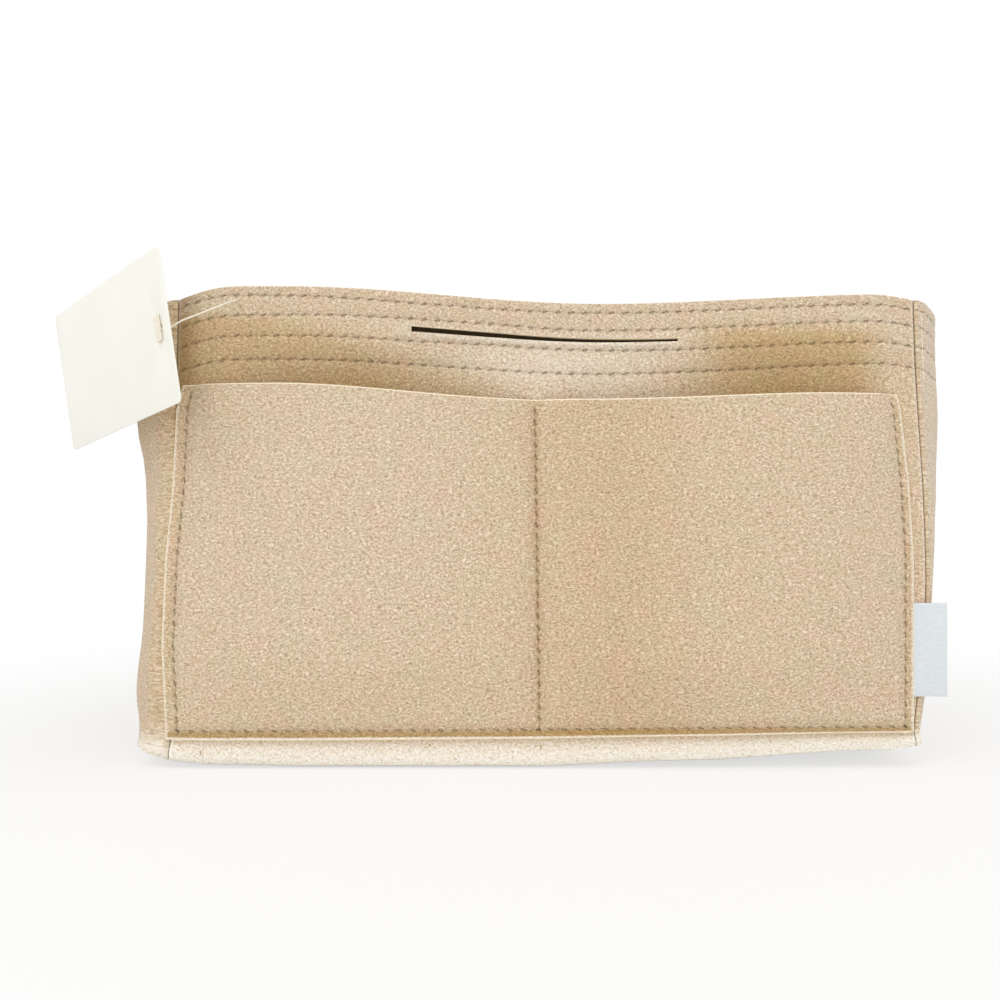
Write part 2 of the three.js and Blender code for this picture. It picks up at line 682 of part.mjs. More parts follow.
function strapSheet() {
  const [near, far] = [strapFront, strapFront + keyStrap.width];
  const hanging = blockBetween([strapFaceX, near, loopZ], [strapFaceX + keyStrap.thickness, far, strapTop]);
  const loop = rodAlong('y', loopRadius, near, far, roundSides, [loopX, 0, loopZ]);
  const bore = rodAlong('y', loopBore, near - cutOverrun, far + cutOverrun, roundSides, [loopX, 0, loopZ]);
  return cutFrom(joined(hanging, loop), bore);
}

addPiece('key_strap', strapSheet(), feltBeige);

// Clasp: a wire eye through the strap's loop, a neck, and an open ring with cheeks for the gate
const eyeHalfWidth = (keyStrap.width + claspEye.play) / 2 + claspEye.wire;
const blockTop = loopZ - claspEye.innerHeight;
const blockBottom = blockTop - claspEye.block;
const ringZ = blockBottom - claspHook.neck - claspHook.ring - claspHook.wire;
const gateAngle = claspHook.mouthTo * degree;
const tipAngle = claspHook.mouthFrom * degree;
const pivotY = keyStrap.y + claspHook.ring * Math.cos(gateAngle);
const pivotZ = ringZ + claspHook.ring * Math.sin(gateAngle);

function eyeFrame() {
  const [near, far] = [keyStrap.y - eyeHalfWidth, keyStrap.y + eyeHalfWidth];
  const bar = rodAlong('y', claspEye.wire, near, far, rodSides, [loopX, 0, loopZ]);
  const sides = [near, far].map((y) => (
    rodAlong('z', claspEye.wire, blockBottom + claspEye.wire, loopZ, rodSides, [loopX, y, 0])));
  const halfBlock = claspEye.blockDepth / 2;
  const block = blockBetween([loopX - halfBlock, near, blockBottom], [loopX + halfBlock, far, blockTop]);
  return joined(bar, ...sides, block);
}

function openRing() {
  const radius = claspHook.ring;
  const span = 2 * Math.PI - (gateAngle - tipAngle);
  const round = spread(gateAngle, gateAngle + span, ringSteps).map((angle) => new THREE.Vector3(
    loopX, keyStrap.y + radius * Math.cos(angle), ringZ + radius * Math.sin(angle)));
  return wireAlong(round, claspHook.wire, ringSteps);
}

function hookBody() {
  const neckFrom = ringZ + claspHook.ring;
  const neckAt = [loopX, keyStrap.y, 0];
  const neck = rodAlong('z', claspHook.neckRadius, neckFrom, blockBottom + claspEye.wire, rodSides, neckAt);
  const cheekOut = claspGate.leaf / 2 + clearance + claspGate.cheek;
  const pivot = [loopX, pivotY, pivotZ];
  const cheekBlock = rodAlong('x', gateKnuckle + clearance, -cheekOut, cheekOut, roundSides, pivot);
  const roomHalf = cheekOut - claspGate.cheek;
  const gateRoom = rodAlong('x', gateKnuckle + cutOverrun, -roomHalf, roomHalf, roundSides, pivot);
  const pin = rodAlong('x', claspGate.pin, clearance - cheekOut, cheekOut - clearance, rodSides, pivot);
  const ring = joined(openRing(), cheekBlock);
  return joined(cutFrom(ring, gateRoom), pin, neck, eyeFrame());
}

addPiece('clasp_hook', hookBody(), zincAlloy);

// Gate: a knuckle on the hook's pin and a leaf down to the inside of the hook's tip
const leafTipRadius = claspHook.ring - claspHook.wire - 2 * clearance - claspGate.leaf / 2;
const tipY = keyStrap.y + leafTipRadius * Math.cos(tipAngle);
const tipZ = ringZ + leafTipRadius * Math.sin(tipAngle);

function gateLeaf() {
  const half = claspGate.leaf / 2;
  const pivot = [loopX, pivotY, pivotZ];
  const knuckle = rodAlong('x', gateKnuckle, -half, half, roundSides, pivot);
  const bore = rodAlong('x', gateBore, -half - cutOverrun, half + cutOverrun, rodSides, pivot);
  const run = Math.hypot(tipY - pivotY, tipZ - pivotZ) + claspGate.overlap;
  const lean = Math.atan2(tipY - pivotY, pivotZ - tipZ);
  const leaf = blockBetween([-half, -half, -run], [half, half, -gateBore]);
  leaf.rotateX(lean).translate(loopX, pivotY, pivotZ);
  return cutFrom(joined(knuckle, leaf), bore);
}

addPiece('clasp_gate', gateLeaf(), zincAlloy);

// Swing tag card, placed by its hole
function cardPlate() {
  const halfHeight = card.height / 2;
  const [left, right] = [card.holeInset - card.width, card.holeInset];
  const c = card.corner;
  const outline = new THREE.Shape();
  outline.moveTo(left + c, -halfHeight);
  outline.lineTo(right - c, -halfHeight);
  outline.absarc(right - c, -halfHeight + c, c, -Math.PI / 2, 0);
  outline.lineTo(right, halfHeight - c);
  outline.absarc(right - c, halfHeight - c, c, 0, Math.PI / 2);
  outline.lineTo(left + c, halfHeight);
  outline.absarc(left + c, halfHeight - c, c, Math.PI / 2, Math.PI);
  outline.lineTo(left, -halfHeight + c);
  outline.absarc(left + c, -halfHeight + c, c, Math.PI, 1.5 * Math.PI);
  const hole = new THREE.Path();
  hole.absarc(0, 0, card.holeRadius, 0, 2 * Math.PI);
  outline.holes.push(hole);
  const extrusion = { depth: card.thickness, bevelEnabled: false, curveSegments: arcSegments };
  const plate = new THREE.ExtrudeGeometry(outline, extrusion);
  return plate.translate(0, 0, -card.thickness / 2).rotateX(Math.PI / 2);
}

const { roll, pitch, yaw } = cardTurn;
const cardEuler = new THREE.Euler(roll * degree, pitch * degree, yaw * degree, 'ZYX');
const cardHole = new THREE.Vector3(pinHoleX - cardHang.out, 0, pinHoleZ - cardHang.drop);
cardHole.y = -halfDepth - cardHang.front;
const cardGroup = new THREE.Group();
cardGroup.position.copy(cardHole);
cardGroup.setRotationFromEuler(cardEuler);
insert.add(cardGroup);
addPiece('tag_card', cardPlate(), cardIvory, cardGroup);

// Tag pin: T-bar behind the facing, filament through the wall to the card's hole, paddle on the card's front
function pinSolid() {
  const facingInnerY = -halfDepth + hollowAt(pinHoleX, pinHoleZ) + 2 * felt + clearance;
  const barY = facingInnerY + clearance + tagPin.barRadius;
  const halfBar = tagPin.barLength / 2;
  const bar = rodAlong('x', tagPin.barRadius, -halfBar, halfBar, thinSides, [pinHoleX, barY, pinHoleZ]);
  const frontward = new THREE.Vector3(0, -1, 0).applyEuler(cardEuler);
  const paddleMiddle = card.thickness / 2 + clearance + tagPin.paddleThickness / 2;
  const wallMouth = new THREE.Vector3(pinHoleX, -halfDepth, pinHoleZ);
  const leaves = wallMouth.clone().add(new THREE.Vector3(0, -2 * felt, 0));
  const filament = wireAlong([
    new THREE.Vector3(pinHoleX, barY, pinHoleZ),
    wallMouth,
    leaves,
    ...tagPin.routeShares.map((share) => leaves.clone().lerp(cardHole, share)),
    cardHole.clone().addScaledVector(frontward, -felt),
    cardHole.clone().addScaledVector(frontward, paddleMiddle),
  ], tagPin.radius, pinSteps);
  const paddle = new THREE.BoxGeometry(tagPin.paddleWidth, tagPin.paddleThickness, tagPin.paddleHeight);
  paddle.translate(0, -paddleMiddle, 0).applyQuaternion(new THREE.Quaternion().setFromEuler(cardEuler));
  paddle.translate(cardHole.x, cardHole.y, cardHole.z);
  return joined(filament, bar, paddle);
}

addPiece('tag_pin', pinSolid(), nylonClear);

export default insert;
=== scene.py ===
import math

import bmesh
import bpy
import numpy as np
from mathutils import Euler, Matrix, Vector


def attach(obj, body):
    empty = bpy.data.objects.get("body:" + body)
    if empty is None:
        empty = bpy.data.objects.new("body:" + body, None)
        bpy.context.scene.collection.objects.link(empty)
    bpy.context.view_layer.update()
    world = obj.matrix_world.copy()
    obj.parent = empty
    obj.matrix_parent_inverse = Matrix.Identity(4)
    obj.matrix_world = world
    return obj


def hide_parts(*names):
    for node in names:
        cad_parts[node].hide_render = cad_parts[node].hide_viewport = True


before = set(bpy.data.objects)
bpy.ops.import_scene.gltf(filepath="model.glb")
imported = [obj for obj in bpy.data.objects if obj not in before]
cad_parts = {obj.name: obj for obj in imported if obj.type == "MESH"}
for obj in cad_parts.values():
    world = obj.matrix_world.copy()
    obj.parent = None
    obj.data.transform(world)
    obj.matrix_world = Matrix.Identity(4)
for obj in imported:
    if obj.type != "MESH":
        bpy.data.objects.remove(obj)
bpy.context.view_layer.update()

# Felt organizer insert for a purse, standing on its base. The front is at -Y and +X is to the right.
# Lengths are in millimetres until a mesh gets its points, and mm turns them to metres.
mm = 0.001
print("frame loaded:", len(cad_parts), "nodes")


# Camera, floor and light

camera = {"place": (-0.0167, -0.460, 0.100), "sensor": 36.0, "lens": 37.48, "clipFar": 30.0}
stage = {
    "floorSize": 14.0, "floorDrop": 0.0004, "floorColor": "F4F3F0", "backColor": "FFFFFF",
    "shadowShare": 0.35, "shadowNear": 0.16, "shadowFar": 0.42, "skyColor": "FFFFFF", "skyStrength": 0.50,
}
softLights = [
    # name, place, aimed at, size, watts
    ("soft key", (-0.75, -1.35, 1.75), (0.0, -0.05, 0.10), 1.3, 11.0),
    ("soft top", (0.35, -0.30, 1.9), (0.0, 0.0, 0.12), 1.6, 11.0),
    ("soft right", (1.6, -0.8, 0.7), (0.0, 0.0, 0.08), 1.2, 3.2),
    ("soft left", (-1.6, -0.7, 0.6), (0.0, 0.0, 0.08), 1.2, 2.8),
    ("soft low", (0.0, -1.7, 0.12), (0.0, 0.0, 0.02), 1.0, 6.5),
]


def linearColor(text, alpha=1.0):
    parts = [int(text[i:i + 2], 16) / 255 for i in (0, 2, 4)]
    return tuple(c / 12.92 if c <= 0.04045 else ((c + 0.055) / 1.055) ** 2.4 for c in parts) + (alpha,)


def addNode(tree, kind, settings=None, inputs=None, links=None):
    node = tree.nodes.new(kind)
    for key, value in (settings or {}).items():
        setattr(node, key, value)
    for key, value in (inputs or {}).items():
        node.inputs[key].default_value = value
    for key, source in (links or {}).items():
        tree.links.new(source, node.inputs[key])
    return node


def newMaterial(name):
    material = bpy.data.materials.new(name)
    material.use_nodes = True
    material.node_tree.nodes.clear()
    return material, material.node_tree


def whereSeen(tree):
    # 1 where the camera, a mirror or a glass looks straight at the surface
    path = addNode(tree, "ShaderNodeLightPath")
    both = addNode(tree, "ShaderNodeMath", {"operation": "MAXIMUM"},
                   links={0: path.outputs["Is Camera Ray"], 1: path.outputs["Is Glossy Ray"]})
    return addNode(tree, "ShaderNodeMath", {"operation": "MAXIMUM"},
                   links={0: both.outputs[0], 1: path.outputs["Is Transmission Ray"]}).outputs[0]


def makeCamera():
    bpy.ops.object.camera_add(location=camera["place"], rotation=(math.pi / 2, 0, 0))
    eye = bpy.context.object
    eye.name = "photo camera"
    eye.data.lens = camera["lens"]
    eye.data.sensor_width = camera["sensor"]
    eye.data.clip_end = camera["clipFar"]
    bpy.context.scene.camera = eye


def makeFloor():
    # white far from the insert, so that only the soft shadow beside it shows
    bpy.ops.mesh.primitive_plane_add(size=stage["floorSize"], location=(0, 0, -stage["floorDrop"]))
    floor = bpy.context.object
    floor.name = "floor"
    material, tree = newMaterial("matt white paper floor")
    paper = addNode(tree, "ShaderNodeBsdfDiffuse", inputs={"Color": linearColor(stage["floorColor"])})
    glow = addNode(tree, "ShaderNodeEmission", inputs={"Color": linearColor(stage["backColor"]), "Strength": 1.0})
    place = addNode(tree, "ShaderNodeTexCoord").outputs["Object"]
    reach = addNode(tree, "ShaderNodeVectorMath", {"operation": "LENGTH"}, links={0: place})
    near = addNode(tree, "ShaderNodeMapRange", {"interpolation_type": "SMOOTHSTEP"},
                   {"From Min": stage["shadowNear"], "From Max": stage["shadowFar"],
                    "To Min": 1 - stage["shadowShare"], "To Max": 1.0}, {"Value": reach.outputs["Value"]})
    share = addNode(tree, "ShaderNodeMath", {"operation": "MULTIPLY"},
                    links={0: whereSeen(tree), 1: near.outputs["Result"]})
    mixed = addNode(tree, "ShaderNodeMixShader", links={0: share.outputs[0], 1: paper.outputs[0], 2: glow.outputs[0]})
    addNode(tree, "ShaderNodeOutputMaterial", links={"Surface": mixed.outputs[0]})
    floor.data.materials.append(material)


def makeSky():
    world = bpy.data.worlds.new("studio")
    bpy.context.scene.world = world
    world.use_nodes = True
    tree = world.node_tree
    tree.nodes.clear()
    soft = addNode(tree, "ShaderNodeBackground",
                   inputs={"Color": linearColor(stage["skyColor"]), "Strength": stage["skyStrength"]})
    back = addNode(tree, "ShaderNodeBackground", inputs={"Color": linearColor(stage["backColor"]), "Strength": 1.0})
    mixed = addNode(tree, "ShaderNodeMixShader",
                    links={0: whereSeen(tree), 1: soft.outputs[0], 2: back.outputs[0]})
    addNode(tree, "ShaderNodeOutputWorld", links={"Surface": mixed.outputs[0]})


def makeLights():
    for name, place, aim, size, watts in softLights:
        bpy.ops.object.light_add(type="AREA", location=place)
        lamp = bpy.context.object
        lamp.name = name
        lamp.data.shape = "SQUARE"
        lamp.data.size = size
        lamp.data.energy = watts
        lamp.rotation_euler = (Vector(aim) - Vector(place)).to_track_quat("-Z", "Y").to_euler()


bpy.context.scene.view_settings.view_transform = "Standard"
makeCamera()
makeFloor()
makeSky()
makeLights()
print("camera, floor and light made")


# Materials

feltLook = {
    # needle-punched polyester felt: short waved fibres pressed flat, so matt, mottled, no weave; real fibres are
    # about 0.03 mm thick, so they are drawn as tufts of many, which is what the eye makes out at this distance
    # deep is the colour that painted shade multiplies in, the pale ramp is painted light, and needle is the painted
    # shade in needle holes, grooves and shaded places
    "shade": "967A5B", "body": "D3BB9B", "light": "FDF2E0", "pink": "DFB9A0", "green": "CEC5A2", "deep": "E4D19E",
    "paleShade": "DCD1B9", "pale": "FCF6EA", "paleLight": "FFFFFF", "paleShare": 0.70, "needle": "503A1C",
    "fibreHeight": 0.66, "fibreLength": 1.0, "fineFibre": 0.38, "swirl": 3.4, "swirlReach": 2.72, "mottle": 11.0,
    "bump": 0.42, "tint": 0.34, "fineShare": 0.3, "stops": (0.37, 0.50, 0.63),
}
plainLooks = {
    # two colours in clouds, how rough it is in the one and the other, and a grain: size, detail, strength, depth
    # felt cut by a die: the packed fibres' ends stand out, so paler and rougher than the face; its colour is made paler
    # still as a painted highlight along the edge
    "cut felt edge": {"dark": "EEDCB8", "light": "FFF6E2", "clouds": 0.5, "roughness": (0.9, 0.9),
                      "grain": (0.5, 3.0, 0.6, 0.12), "surface": {"Specular IOR Level": 0.3}},
    # thread of spun staple: a soft, hairy line with no shine, its twist drawn coarser than real
    "spun polyester thread": {"dark": "9A7B4E", "light": "C6AA7C", "clouds": 0.6, "roughness": (0.75, 0.75),
                              "grain": (0.6, 3.0, 0.6, 0.12), "surface": {"Specular IOR Level": 0.3}},
    # painted shade: the side of the facing that lies against the wall is coloured near black, so that the grip slot,
    # seen through, shows as a black line of shade
    "facing back painted in slot shade": {"dark": "1E170D", "light": "3A2D1B", "clouds": 0.8, "roughness": (0.95, 0.95),
                             "grain": (0.8, 3.0, 0.6, 0.12), "surface": {"Specular IOR Level": 0.3}},
    # extruded nylon: smooth and waxy, faintly clouded, with soft highlights
    "heat-set nylon coil": {"dark": "B08E5C", "light": "D8BB8A", "clouds": 2.5, "roughness": (0.32, 0.46),
                            "surface": {"IOR": 1.53, "Subsurface Weight": 0.1, "Subsurface Scale": 0.6 * mm}},
    # moulded nylon: the same, milkier and a little glossier
    "clear moulded nylon": {"dark": "EAE2CE", "light": "F6F0E0", "clouds": 2.5, "roughness": (0.24, 0.38),
                            "surface": {"IOR": 1.53, "Subsurface Weight": 0.1, "Subsurface Scale": 0.6 * mm}},
    # coated ivory card: smooth and half matt, with a trace of paper fibre and clouding
    "coated ivory card": {"dark": "F4F3E8", "light": "FAF9F2", "clouds": 22.0, "roughness": (0.48, 0.48),
                          "grain": (0.5, 4.0, 0.2, 0.03), "surface": {"Specular IOR Level": 0.45}},
}


def feltMaterial(name, look):
    material, tree = newMaterial(name)
    cloth = addNode(tree, "ShaderNodeUVMap", {"uv_map": "cloth"}).outputs["UV"]
    sway = addNode(tree, "ShaderNodeTexNoise",
                   inputs={"Scale": 1 / (look["swirl"] * mm), "Detail": 2.0, "Roughness": 0.5}, links={"Vector": cloth})
    reach = look["swirlReach"] * mm
    swayed = addNode(tree, "ShaderNodeVectorMath", {"operation": "MULTIPLY_ADD"}, {1: (reach, reach, 0)},
                     {0: sway.outputs["Color"], 2: cloth})
    stretched = addNode(tree, "ShaderNodeMapping",
                        inputs={"Scale": (look["fibreHeight"] / look["fibreLength"], 1.0, 1.0)},
                        links={"Vector": swayed.outputs[0]})
    fibre = addNode(tree, "ShaderNodeTexNoise", inputs={"Scale": 1 / (look["fibreHeight"] * mm), "Detail": 3.0,
                                                        "Roughness": 0.55, "Distortion": 0.6},
                    links={"Vector": stretched.outputs[0]})
    fine = addNode(tree, "ShaderNodeTexNoise",
                   inputs={"Scale": 1 / (look["fineFibre"] * mm), "Detail": 2.0, "Roughness": 0.6},
                   links={"Vector": swayed.outputs[0]})
    mottle = addNode(tree, "ShaderNodeTexNoise",
                     inputs={"Scale": 1 / (look["mottle"] * mm), "Detail": 3.0, "Roughness": 0.6},
                     links={"Vector": cloth})
    fibres = addNode(tree, "ShaderNodeMix", {"data_type": "FLOAT"}, {0: look["fineShare"]},
                     {2: fibre.outputs["Fac"], 3: fine.outputs["Fac"]})
    ramps = []
    for colors in (("shade", "body", "light"), ("paleShade", "pale", "paleLight")):
        ramp = addNode(tree, "ShaderNodeValToRGB", links={"Fac": fibres.outputs[0]})
        ramp.color_ramp.elements.new(0.5)
        for stop, place, key in zip(ramp.color_ramp.elements, look["stops"], colors):
            stop.position = place
            stop.color = linearColor(look[key])
        ramps.append(ramp.outputs["Color"])
    clouds = addNode(tree, "ShaderNodeMapRange", inputs={"From Min": 0.32, "From Max": 0.68},
                     links={"Value": mottle.outputs["Fac"]})
    tint = addNode(tree, "ShaderNodeMix", {"data_type": "RGBA"},
                   {6: linearColor(look["pink"]), 7: linearColor(look["green"])}, {0: clouds.outputs["Result"]})
    tinted = addNode(tree, "ShaderNodeMix", {"data_type": "RGBA"}, {0: look["tint"]}, {6: ramps[0], 7: tint.outputs[2]})
    # painted light and shade: above 0 the attribute multiplies the deep colour in as painted shade, below 0 it blends
    # to the pale ramp as painted light; on a few pieces it is only a plain tint
    paintedLightAndTint = addNode(tree, "ShaderNodeAttribute", {"attribute_name": "paintedLightAndTint"})
    deepShare = addNode(tree, "ShaderNodeMath", {"operation": "MAXIMUM"}, {1: 0.0}, {0: paintedLightAndTint.outputs["Fac"]})
    deeper = addNode(tree, "ShaderNodeMix", {"data_type": "RGBA", "blend_type": "MULTIPLY", "clamp_factor": True},
                     {7: linearColor(look["deep"])}, {0: deepShare.outputs[0], 6: tinted.outputs[2]})
    paleShare = addNode(tree, "ShaderNodeMath", {"operation": "MULTIPLY"}, {1: -look["paleShare"]},
                        {0: paintedLightAndTint.outputs["Fac"]})
    paler = addNode(tree, "ShaderNodeMix", {"data_type": "RGBA", "clamp_factor": True},
                    links={0: paleShare.outputs[0], 6: deeper.outputs[2], 7: ramps[1]})
    # the needle attribute lays the dark needle colour on as painted shade, in needle holes, grooves and shaded places
    needle = addNode(tree, "ShaderNodeAttribute", {"attribute_name": "needle"})
    holes = addNode(tree, "ShaderNodeMix", {"data_type": "RGBA", "clamp_factor": True},
                    {7: linearColor(look["needle"])}, {0: needle.outputs["Fac"], 6: paler.outputs[2]})
    bump = addNode(tree, "ShaderNodeBump", inputs={"Strength": 0.8, "Distance": look["bump"] * mm},
                   links={"Height": fibres.outputs[0]})
    dust = addNode(tree, "ShaderNodeBsdfPrincipled",
                   inputs={"Roughness": 0.93, "Specular IOR Level": 0.25, "Sheen Weight": 0.25, "Sheen Roughness": 0.6},
                   links={"Base Color": holes.outputs[2], "Normal": bump.outputs["Normal"]})
    addNode(tree, "ShaderNodeOutputMaterial", links={"Surface": dust.outputs[0]})
    return material


def cloudedMaterial(name, dark, light, clouds, roughness, surface, grain=None):
    material, tree = newMaterial(name)
    place = addNode(tree, "ShaderNodeTexCoord").outputs["Object"]
    cloud = addNode(tree, "ShaderNodeTexNoise", inputs={"Scale": 1 / (clouds * mm), "Detail": 3.0},
                    links={"Vector": place})
    color = addNode(tree, "ShaderNodeMix", {"data_type": "RGBA"}, {6: linearColor(dark), 7: linearColor(light)},
                    {0: cloud.outputs["Fac"]})
    gloss = addNode(tree, "ShaderNodeMapRange", inputs={"To Min": roughness[0], "To Max": roughness[1]},
                    links={"Value": cloud.outputs["Fac"]})
    links = {"Base Color": color.outputs[2], "Roughness": gloss.outputs[0]}
    if grain:
        size, detail, strength, depth = grain
        fibre = addNode(tree, "ShaderNodeTexNoise", inputs={"Scale": 1 / (size * mm), "Detail": detail},
                        links={"Vector": place})
        links["Normal"] = addNode(tree, "ShaderNodeBump", inputs={"Strength": strength, "Distance": depth * mm},
                                  links={"Height": fibre.outputs["Fac"]}).outputs["Normal"]
    shader = addNode(tree, "ShaderNodeBsdfPrincipled", inputs=surface, links=links)
    addNode(tree, "ShaderNodeOutputMaterial", links={"Surface": shader.outputs[0]})
    return material


outerFelt = feltMaterial("needle-punched felt", feltLook)
clouded = {name: cloudedMaterial(name, **look) for name, look in plainLooks.items()}
cutEdge = clouded["cut felt edge"]
print("materials made")


# Shapes that the pieces share, all in millimetres

cloth = {"felt": 2.2, "pocketFelt": 1.8, "clearance": 0.3, "seamAllowance": 8.0, "creaseRadius": 0.75,
         "packedCreaseOut": 4.097, "foldDepth": 0.3}
body = {
    "rimHalfWidth": 138.0, "baseSpread": 4.0, "halfDepth": 70.0, "baseRoll": 10.0,
    "rimLow": 173.4, "rimLowX": 20.0, "leftRise": 6.8, "leftRun": 115.0, "rightRise": 3.8, "rightRun": 110.0,
    "leftDroop": 4.6, "rightDroop": 1.7, "leftDroopRun": 25.0, "rightDroopRun": 15.0, "backRise": 1.6,
    "backWave": 1.0, "sideDroop": 5.0, "facingDepth": 30.0,
}
bows = {-1: (25.0, 18.0, 25.0), 1: (21.0, 13.0, 5.0)}
bow = {"waistZ": 84.966, "run": 50.0, "footZ": 50.0, "footRun": 48.0, "flatness": 2.6}
hollow = {"depth": 4.0, "drop": 33.4, "up": 22.0, "down": 70.0, "places": ((-0.543, 0.449), (0.638, 0.406))}
stitch = {
    # dark and groove set how strong the painted shade in the needle holes and along each row's groove is
    "thread": 0.19, "sunk": 0.55, "slant": 0.3, "slantRun": 1.2, "core": 0.2, "rim": 0.5, "far": 1.0,
    "dash": 0.7, "dashEnd": 1.3, "channel": 0.26, "channelWidth": 0.8, "hole": 0.24, "holeWidth": 0.4,
    "dark": 1.75, "darkWidth": 0.27, "groove": 0.27, "grooveWidth": 0.3,
}
slowWave = {"deep": 0.5, "runX": 31.0, "slant": 40.0, "runZ": 27.0, "from": 1.3, "foot": 60.0}


def smooth(share):
    t = np.clip(share, 0, 1)
    return t * t * (3 - 2 * t)


def lobe(share):
    return np.maximum(0, 1 - share * share) ** 2


def hill(distance, width):
    return np.exp(-(distance / width) ** 2)


def halfWidthAt(z):
    return body["rimHalfWidth"] + body["baseSpread"] * (1 - np.clip(z / body["rimLow"], 0, 1))


def frontRim(x):
    b = body
    rise = b["leftRise"] * smooth((b["rimLowX"] - x) / b["leftRun"])
    rise = rise + b["rightRise"] * smooth((x - b["rimLowX"]) / b["rightRun"])
    droop = b["leftDroop"] * np.clip((-x - b["rimHalfWidth"]) / b["leftDroopRun"] + 1, 0, 1) ** 2
    droop = droop + b["rightDroop"] * np.clip((x - b["rimHalfWidth"]) / b["rightDroopRun"] + 1, 0, 1) ** 2
    return b["rimLow"] + rise - droop


def backRim(x):
    return body["rimLow"] + body["backRise"] + body["backWave"] * np.cos(np.pi * x / body["rimHalfWidth"])


def sideRim(side, y):
    edge = side * body["rimHalfWidth"]
    across = np.clip((y + body["halfDepth"]) / (2 * body["halfDepth"]), 0, 1)
    corners = frontRim(edge) + (backRim(edge) - frontRim(edge)) * across
    return corners - body["sideDroop"] * (1 - (y / body["halfDepth"]) ** 2)


def hollowAt(x, z):
    above = z - (body["rimLow"] - hollow["drop"])
    upright = lobe(above / np.where(above > 0, hollow["up"], hollow["down"]))
    across = sum(lobe((x / body["rimHalfWidth"] - middle) / half) for middle, half in hollow["places"])
    return hollow["depth"] * upright * across


def waveAt(x, z):
    # the slow unevenness of a standing felt wall
    w = slowWave
    wave = np.sin(x / w["runX"] + z / w["slant"]) * np.sin(z / w["runZ"] + w["from"])
    return w["deep"] * wave * smooth(z / w["foot"])


def bowAt(side, z):
    rim, waist, base = bows[side]
    above, below = smooth((z - bow["waistZ"]) / bow["run"]), smooth((bow["footZ"] - z) / bow["footRun"])
    return waist + (rim - waist) * above + (base - waist) * below


def bowShare(inward):
    return 1 - (1 - inward) ** bow["flatness"]


creaseTurn = math.radians(135)
creaseOut = cloth["creaseRadius"] * (1 - math.cos(creaseTurn))
creaseIn = cloth["creaseRadius"] * (1 - math.sin(creaseTurn))


def gussetFaceX(side, y, z):
    beside = 1 - np.minimum(1, np.abs(y) / (body["halfDepth"] - creaseIn))
    above = np.clip((z - creaseIn) / (body["halfDepth"] - creaseIn), 0, 1)
    reach = bowAt(side, z) * bowShare(np.minimum(beside, above))
    return side * (halfWidthAt(z) + cloth["clearance"] + cloth["packedCreaseOut"] + reach)


# Ease that the sewn body takes once it stands: its corners round off near the rim, and the front
# edge of its base rises a little towards both ends
ease = {
    "corner": 3.2, "cornerFrom": 120.0, "cornerRun": 18.0, "cornerLow": 80.0, "cornerHigh": 80.0,
    "inFrom": 38.0, "inRun": 30.0,
    "liftAt": (-148, -140, -129, -112, -91, 0, 21, 36, 66, 81, 96, 111, 126, 133, 140, 146),
    "lift": (3.2, 2.0, 0.8, 0.5, 0, 0, 1.0, 1.8, 2.6, 3.7, 4.8, 5.9, 6.2, 6.2, 7.4, 8.0),
    "foldPower": 5.0, "foldOut": 3.2, "foldMiddle": 2.5, "foldHeight": 5.0,
    "liftFade": 17.0, "liftFrom": 18.0, "liftRun": 40.0,
    # how far each upright seam, and the gusset beside it, is moved out, by height
    "seamZ": (0, 12, 25, 45, 70, 107, 145, 172), "rightSeam": (-3.6, -3.6, -2.0, 1.0, 2.6, 2.4, 1.8, 1.5),
    "leftSeam": (-1.5, -2.0, -2.4, -2.4, -2.2, -1.6, 0, 0), "seamFrom": 118.0, "seamRun": 20.0,
    "rightZ": (0, 10, 16, 25, 45, 67, 75, 88, 100, 107, 115, 125, 165, 172),
    "right": (-4.8, -4.9, -4.6, -2.9, -1.2, 0.4, 1.0, 1.9, 1.8, 1.1, 0.4, 0, 0, 0.3),
    "leftZ": (0, 5, 8, 12, 16, 22, 32, 40, 52, 67, 85, 100, 113, 120, 128),
    "left": (6.0, 5.2, 3.8, 2.2, 1.3, 1.3, 1.9, 1.8, 1.1, 0.7, 0.3, -0.2, -1.2, -0.5, 0.6),
    "gussetFrom": 1.0, "gussetRun": 5.0,
}


def settled(points, spread=True):
    x, y, z = points[..., 0], points[..., 1], points[..., 2]
    e = ease
    turn = e["corner"] * smooth((np.abs(x) - e["cornerFrom"]) / e["cornerRun"])
    turn = turn * smooth((z - e["cornerLow"]) / e["cornerHigh"]) * smooth((np.abs(y) - e["inFrom"]) / e["inRun"])
    rise = np.interp(x, e["liftAt"], e["lift"])
    rise = rise * smooth((-y - e["liftFrom"]) / e["liftRun"]) * (1 - smooth(z / e["liftFade"]))
    seamOut = np.where(x > 0, np.interp(z, e["seamZ"], e["rightSeam"]), np.interp(z, e["seamZ"], e["leftSeam"]))
    gussetOut = np.where(x > 0, np.interp(z, e["rightZ"], e["right"]), np.interp(z, e["leftZ"], e["left"]))
    beyond = smooth((np.abs(x) - halfWidthAt(z) - e["gussetFrom"]) / e["gussetRun"])
    out = (seamOut * (1 - beyond) + gussetOut * beyond) * smooth((np.abs(x) - e["seamFrom"]) / e["seamRun"])
    out = np.sign(x) * out * smooth((np.abs(y) - 15) / 30) * spread
    # the fold at the foot of each wall is squarer and fuller than the pattern's round one
    over = np.maximum(0, np.abs(y) - body["halfDepth"] + body["baseRoll"])
    under = np.maximum(0, body["baseRoll"] - z)
    squared = (over ** e["foldPower"] + under ** e["foldPower"]) ** (1 / e["foldPower"])
    more = np.hypot(over, under) / np.maximum(squared, 0.001) - 1
    full = e["foldOut"] * hill(z - e["foldMiddle"], e["foldHeight"]) * smooth((np.abs(y) - 45) / 20)
    return np.stack([x + out, y + np.sign(y) * (over * more + full - turn), z - under * more + rise], axis=-1)


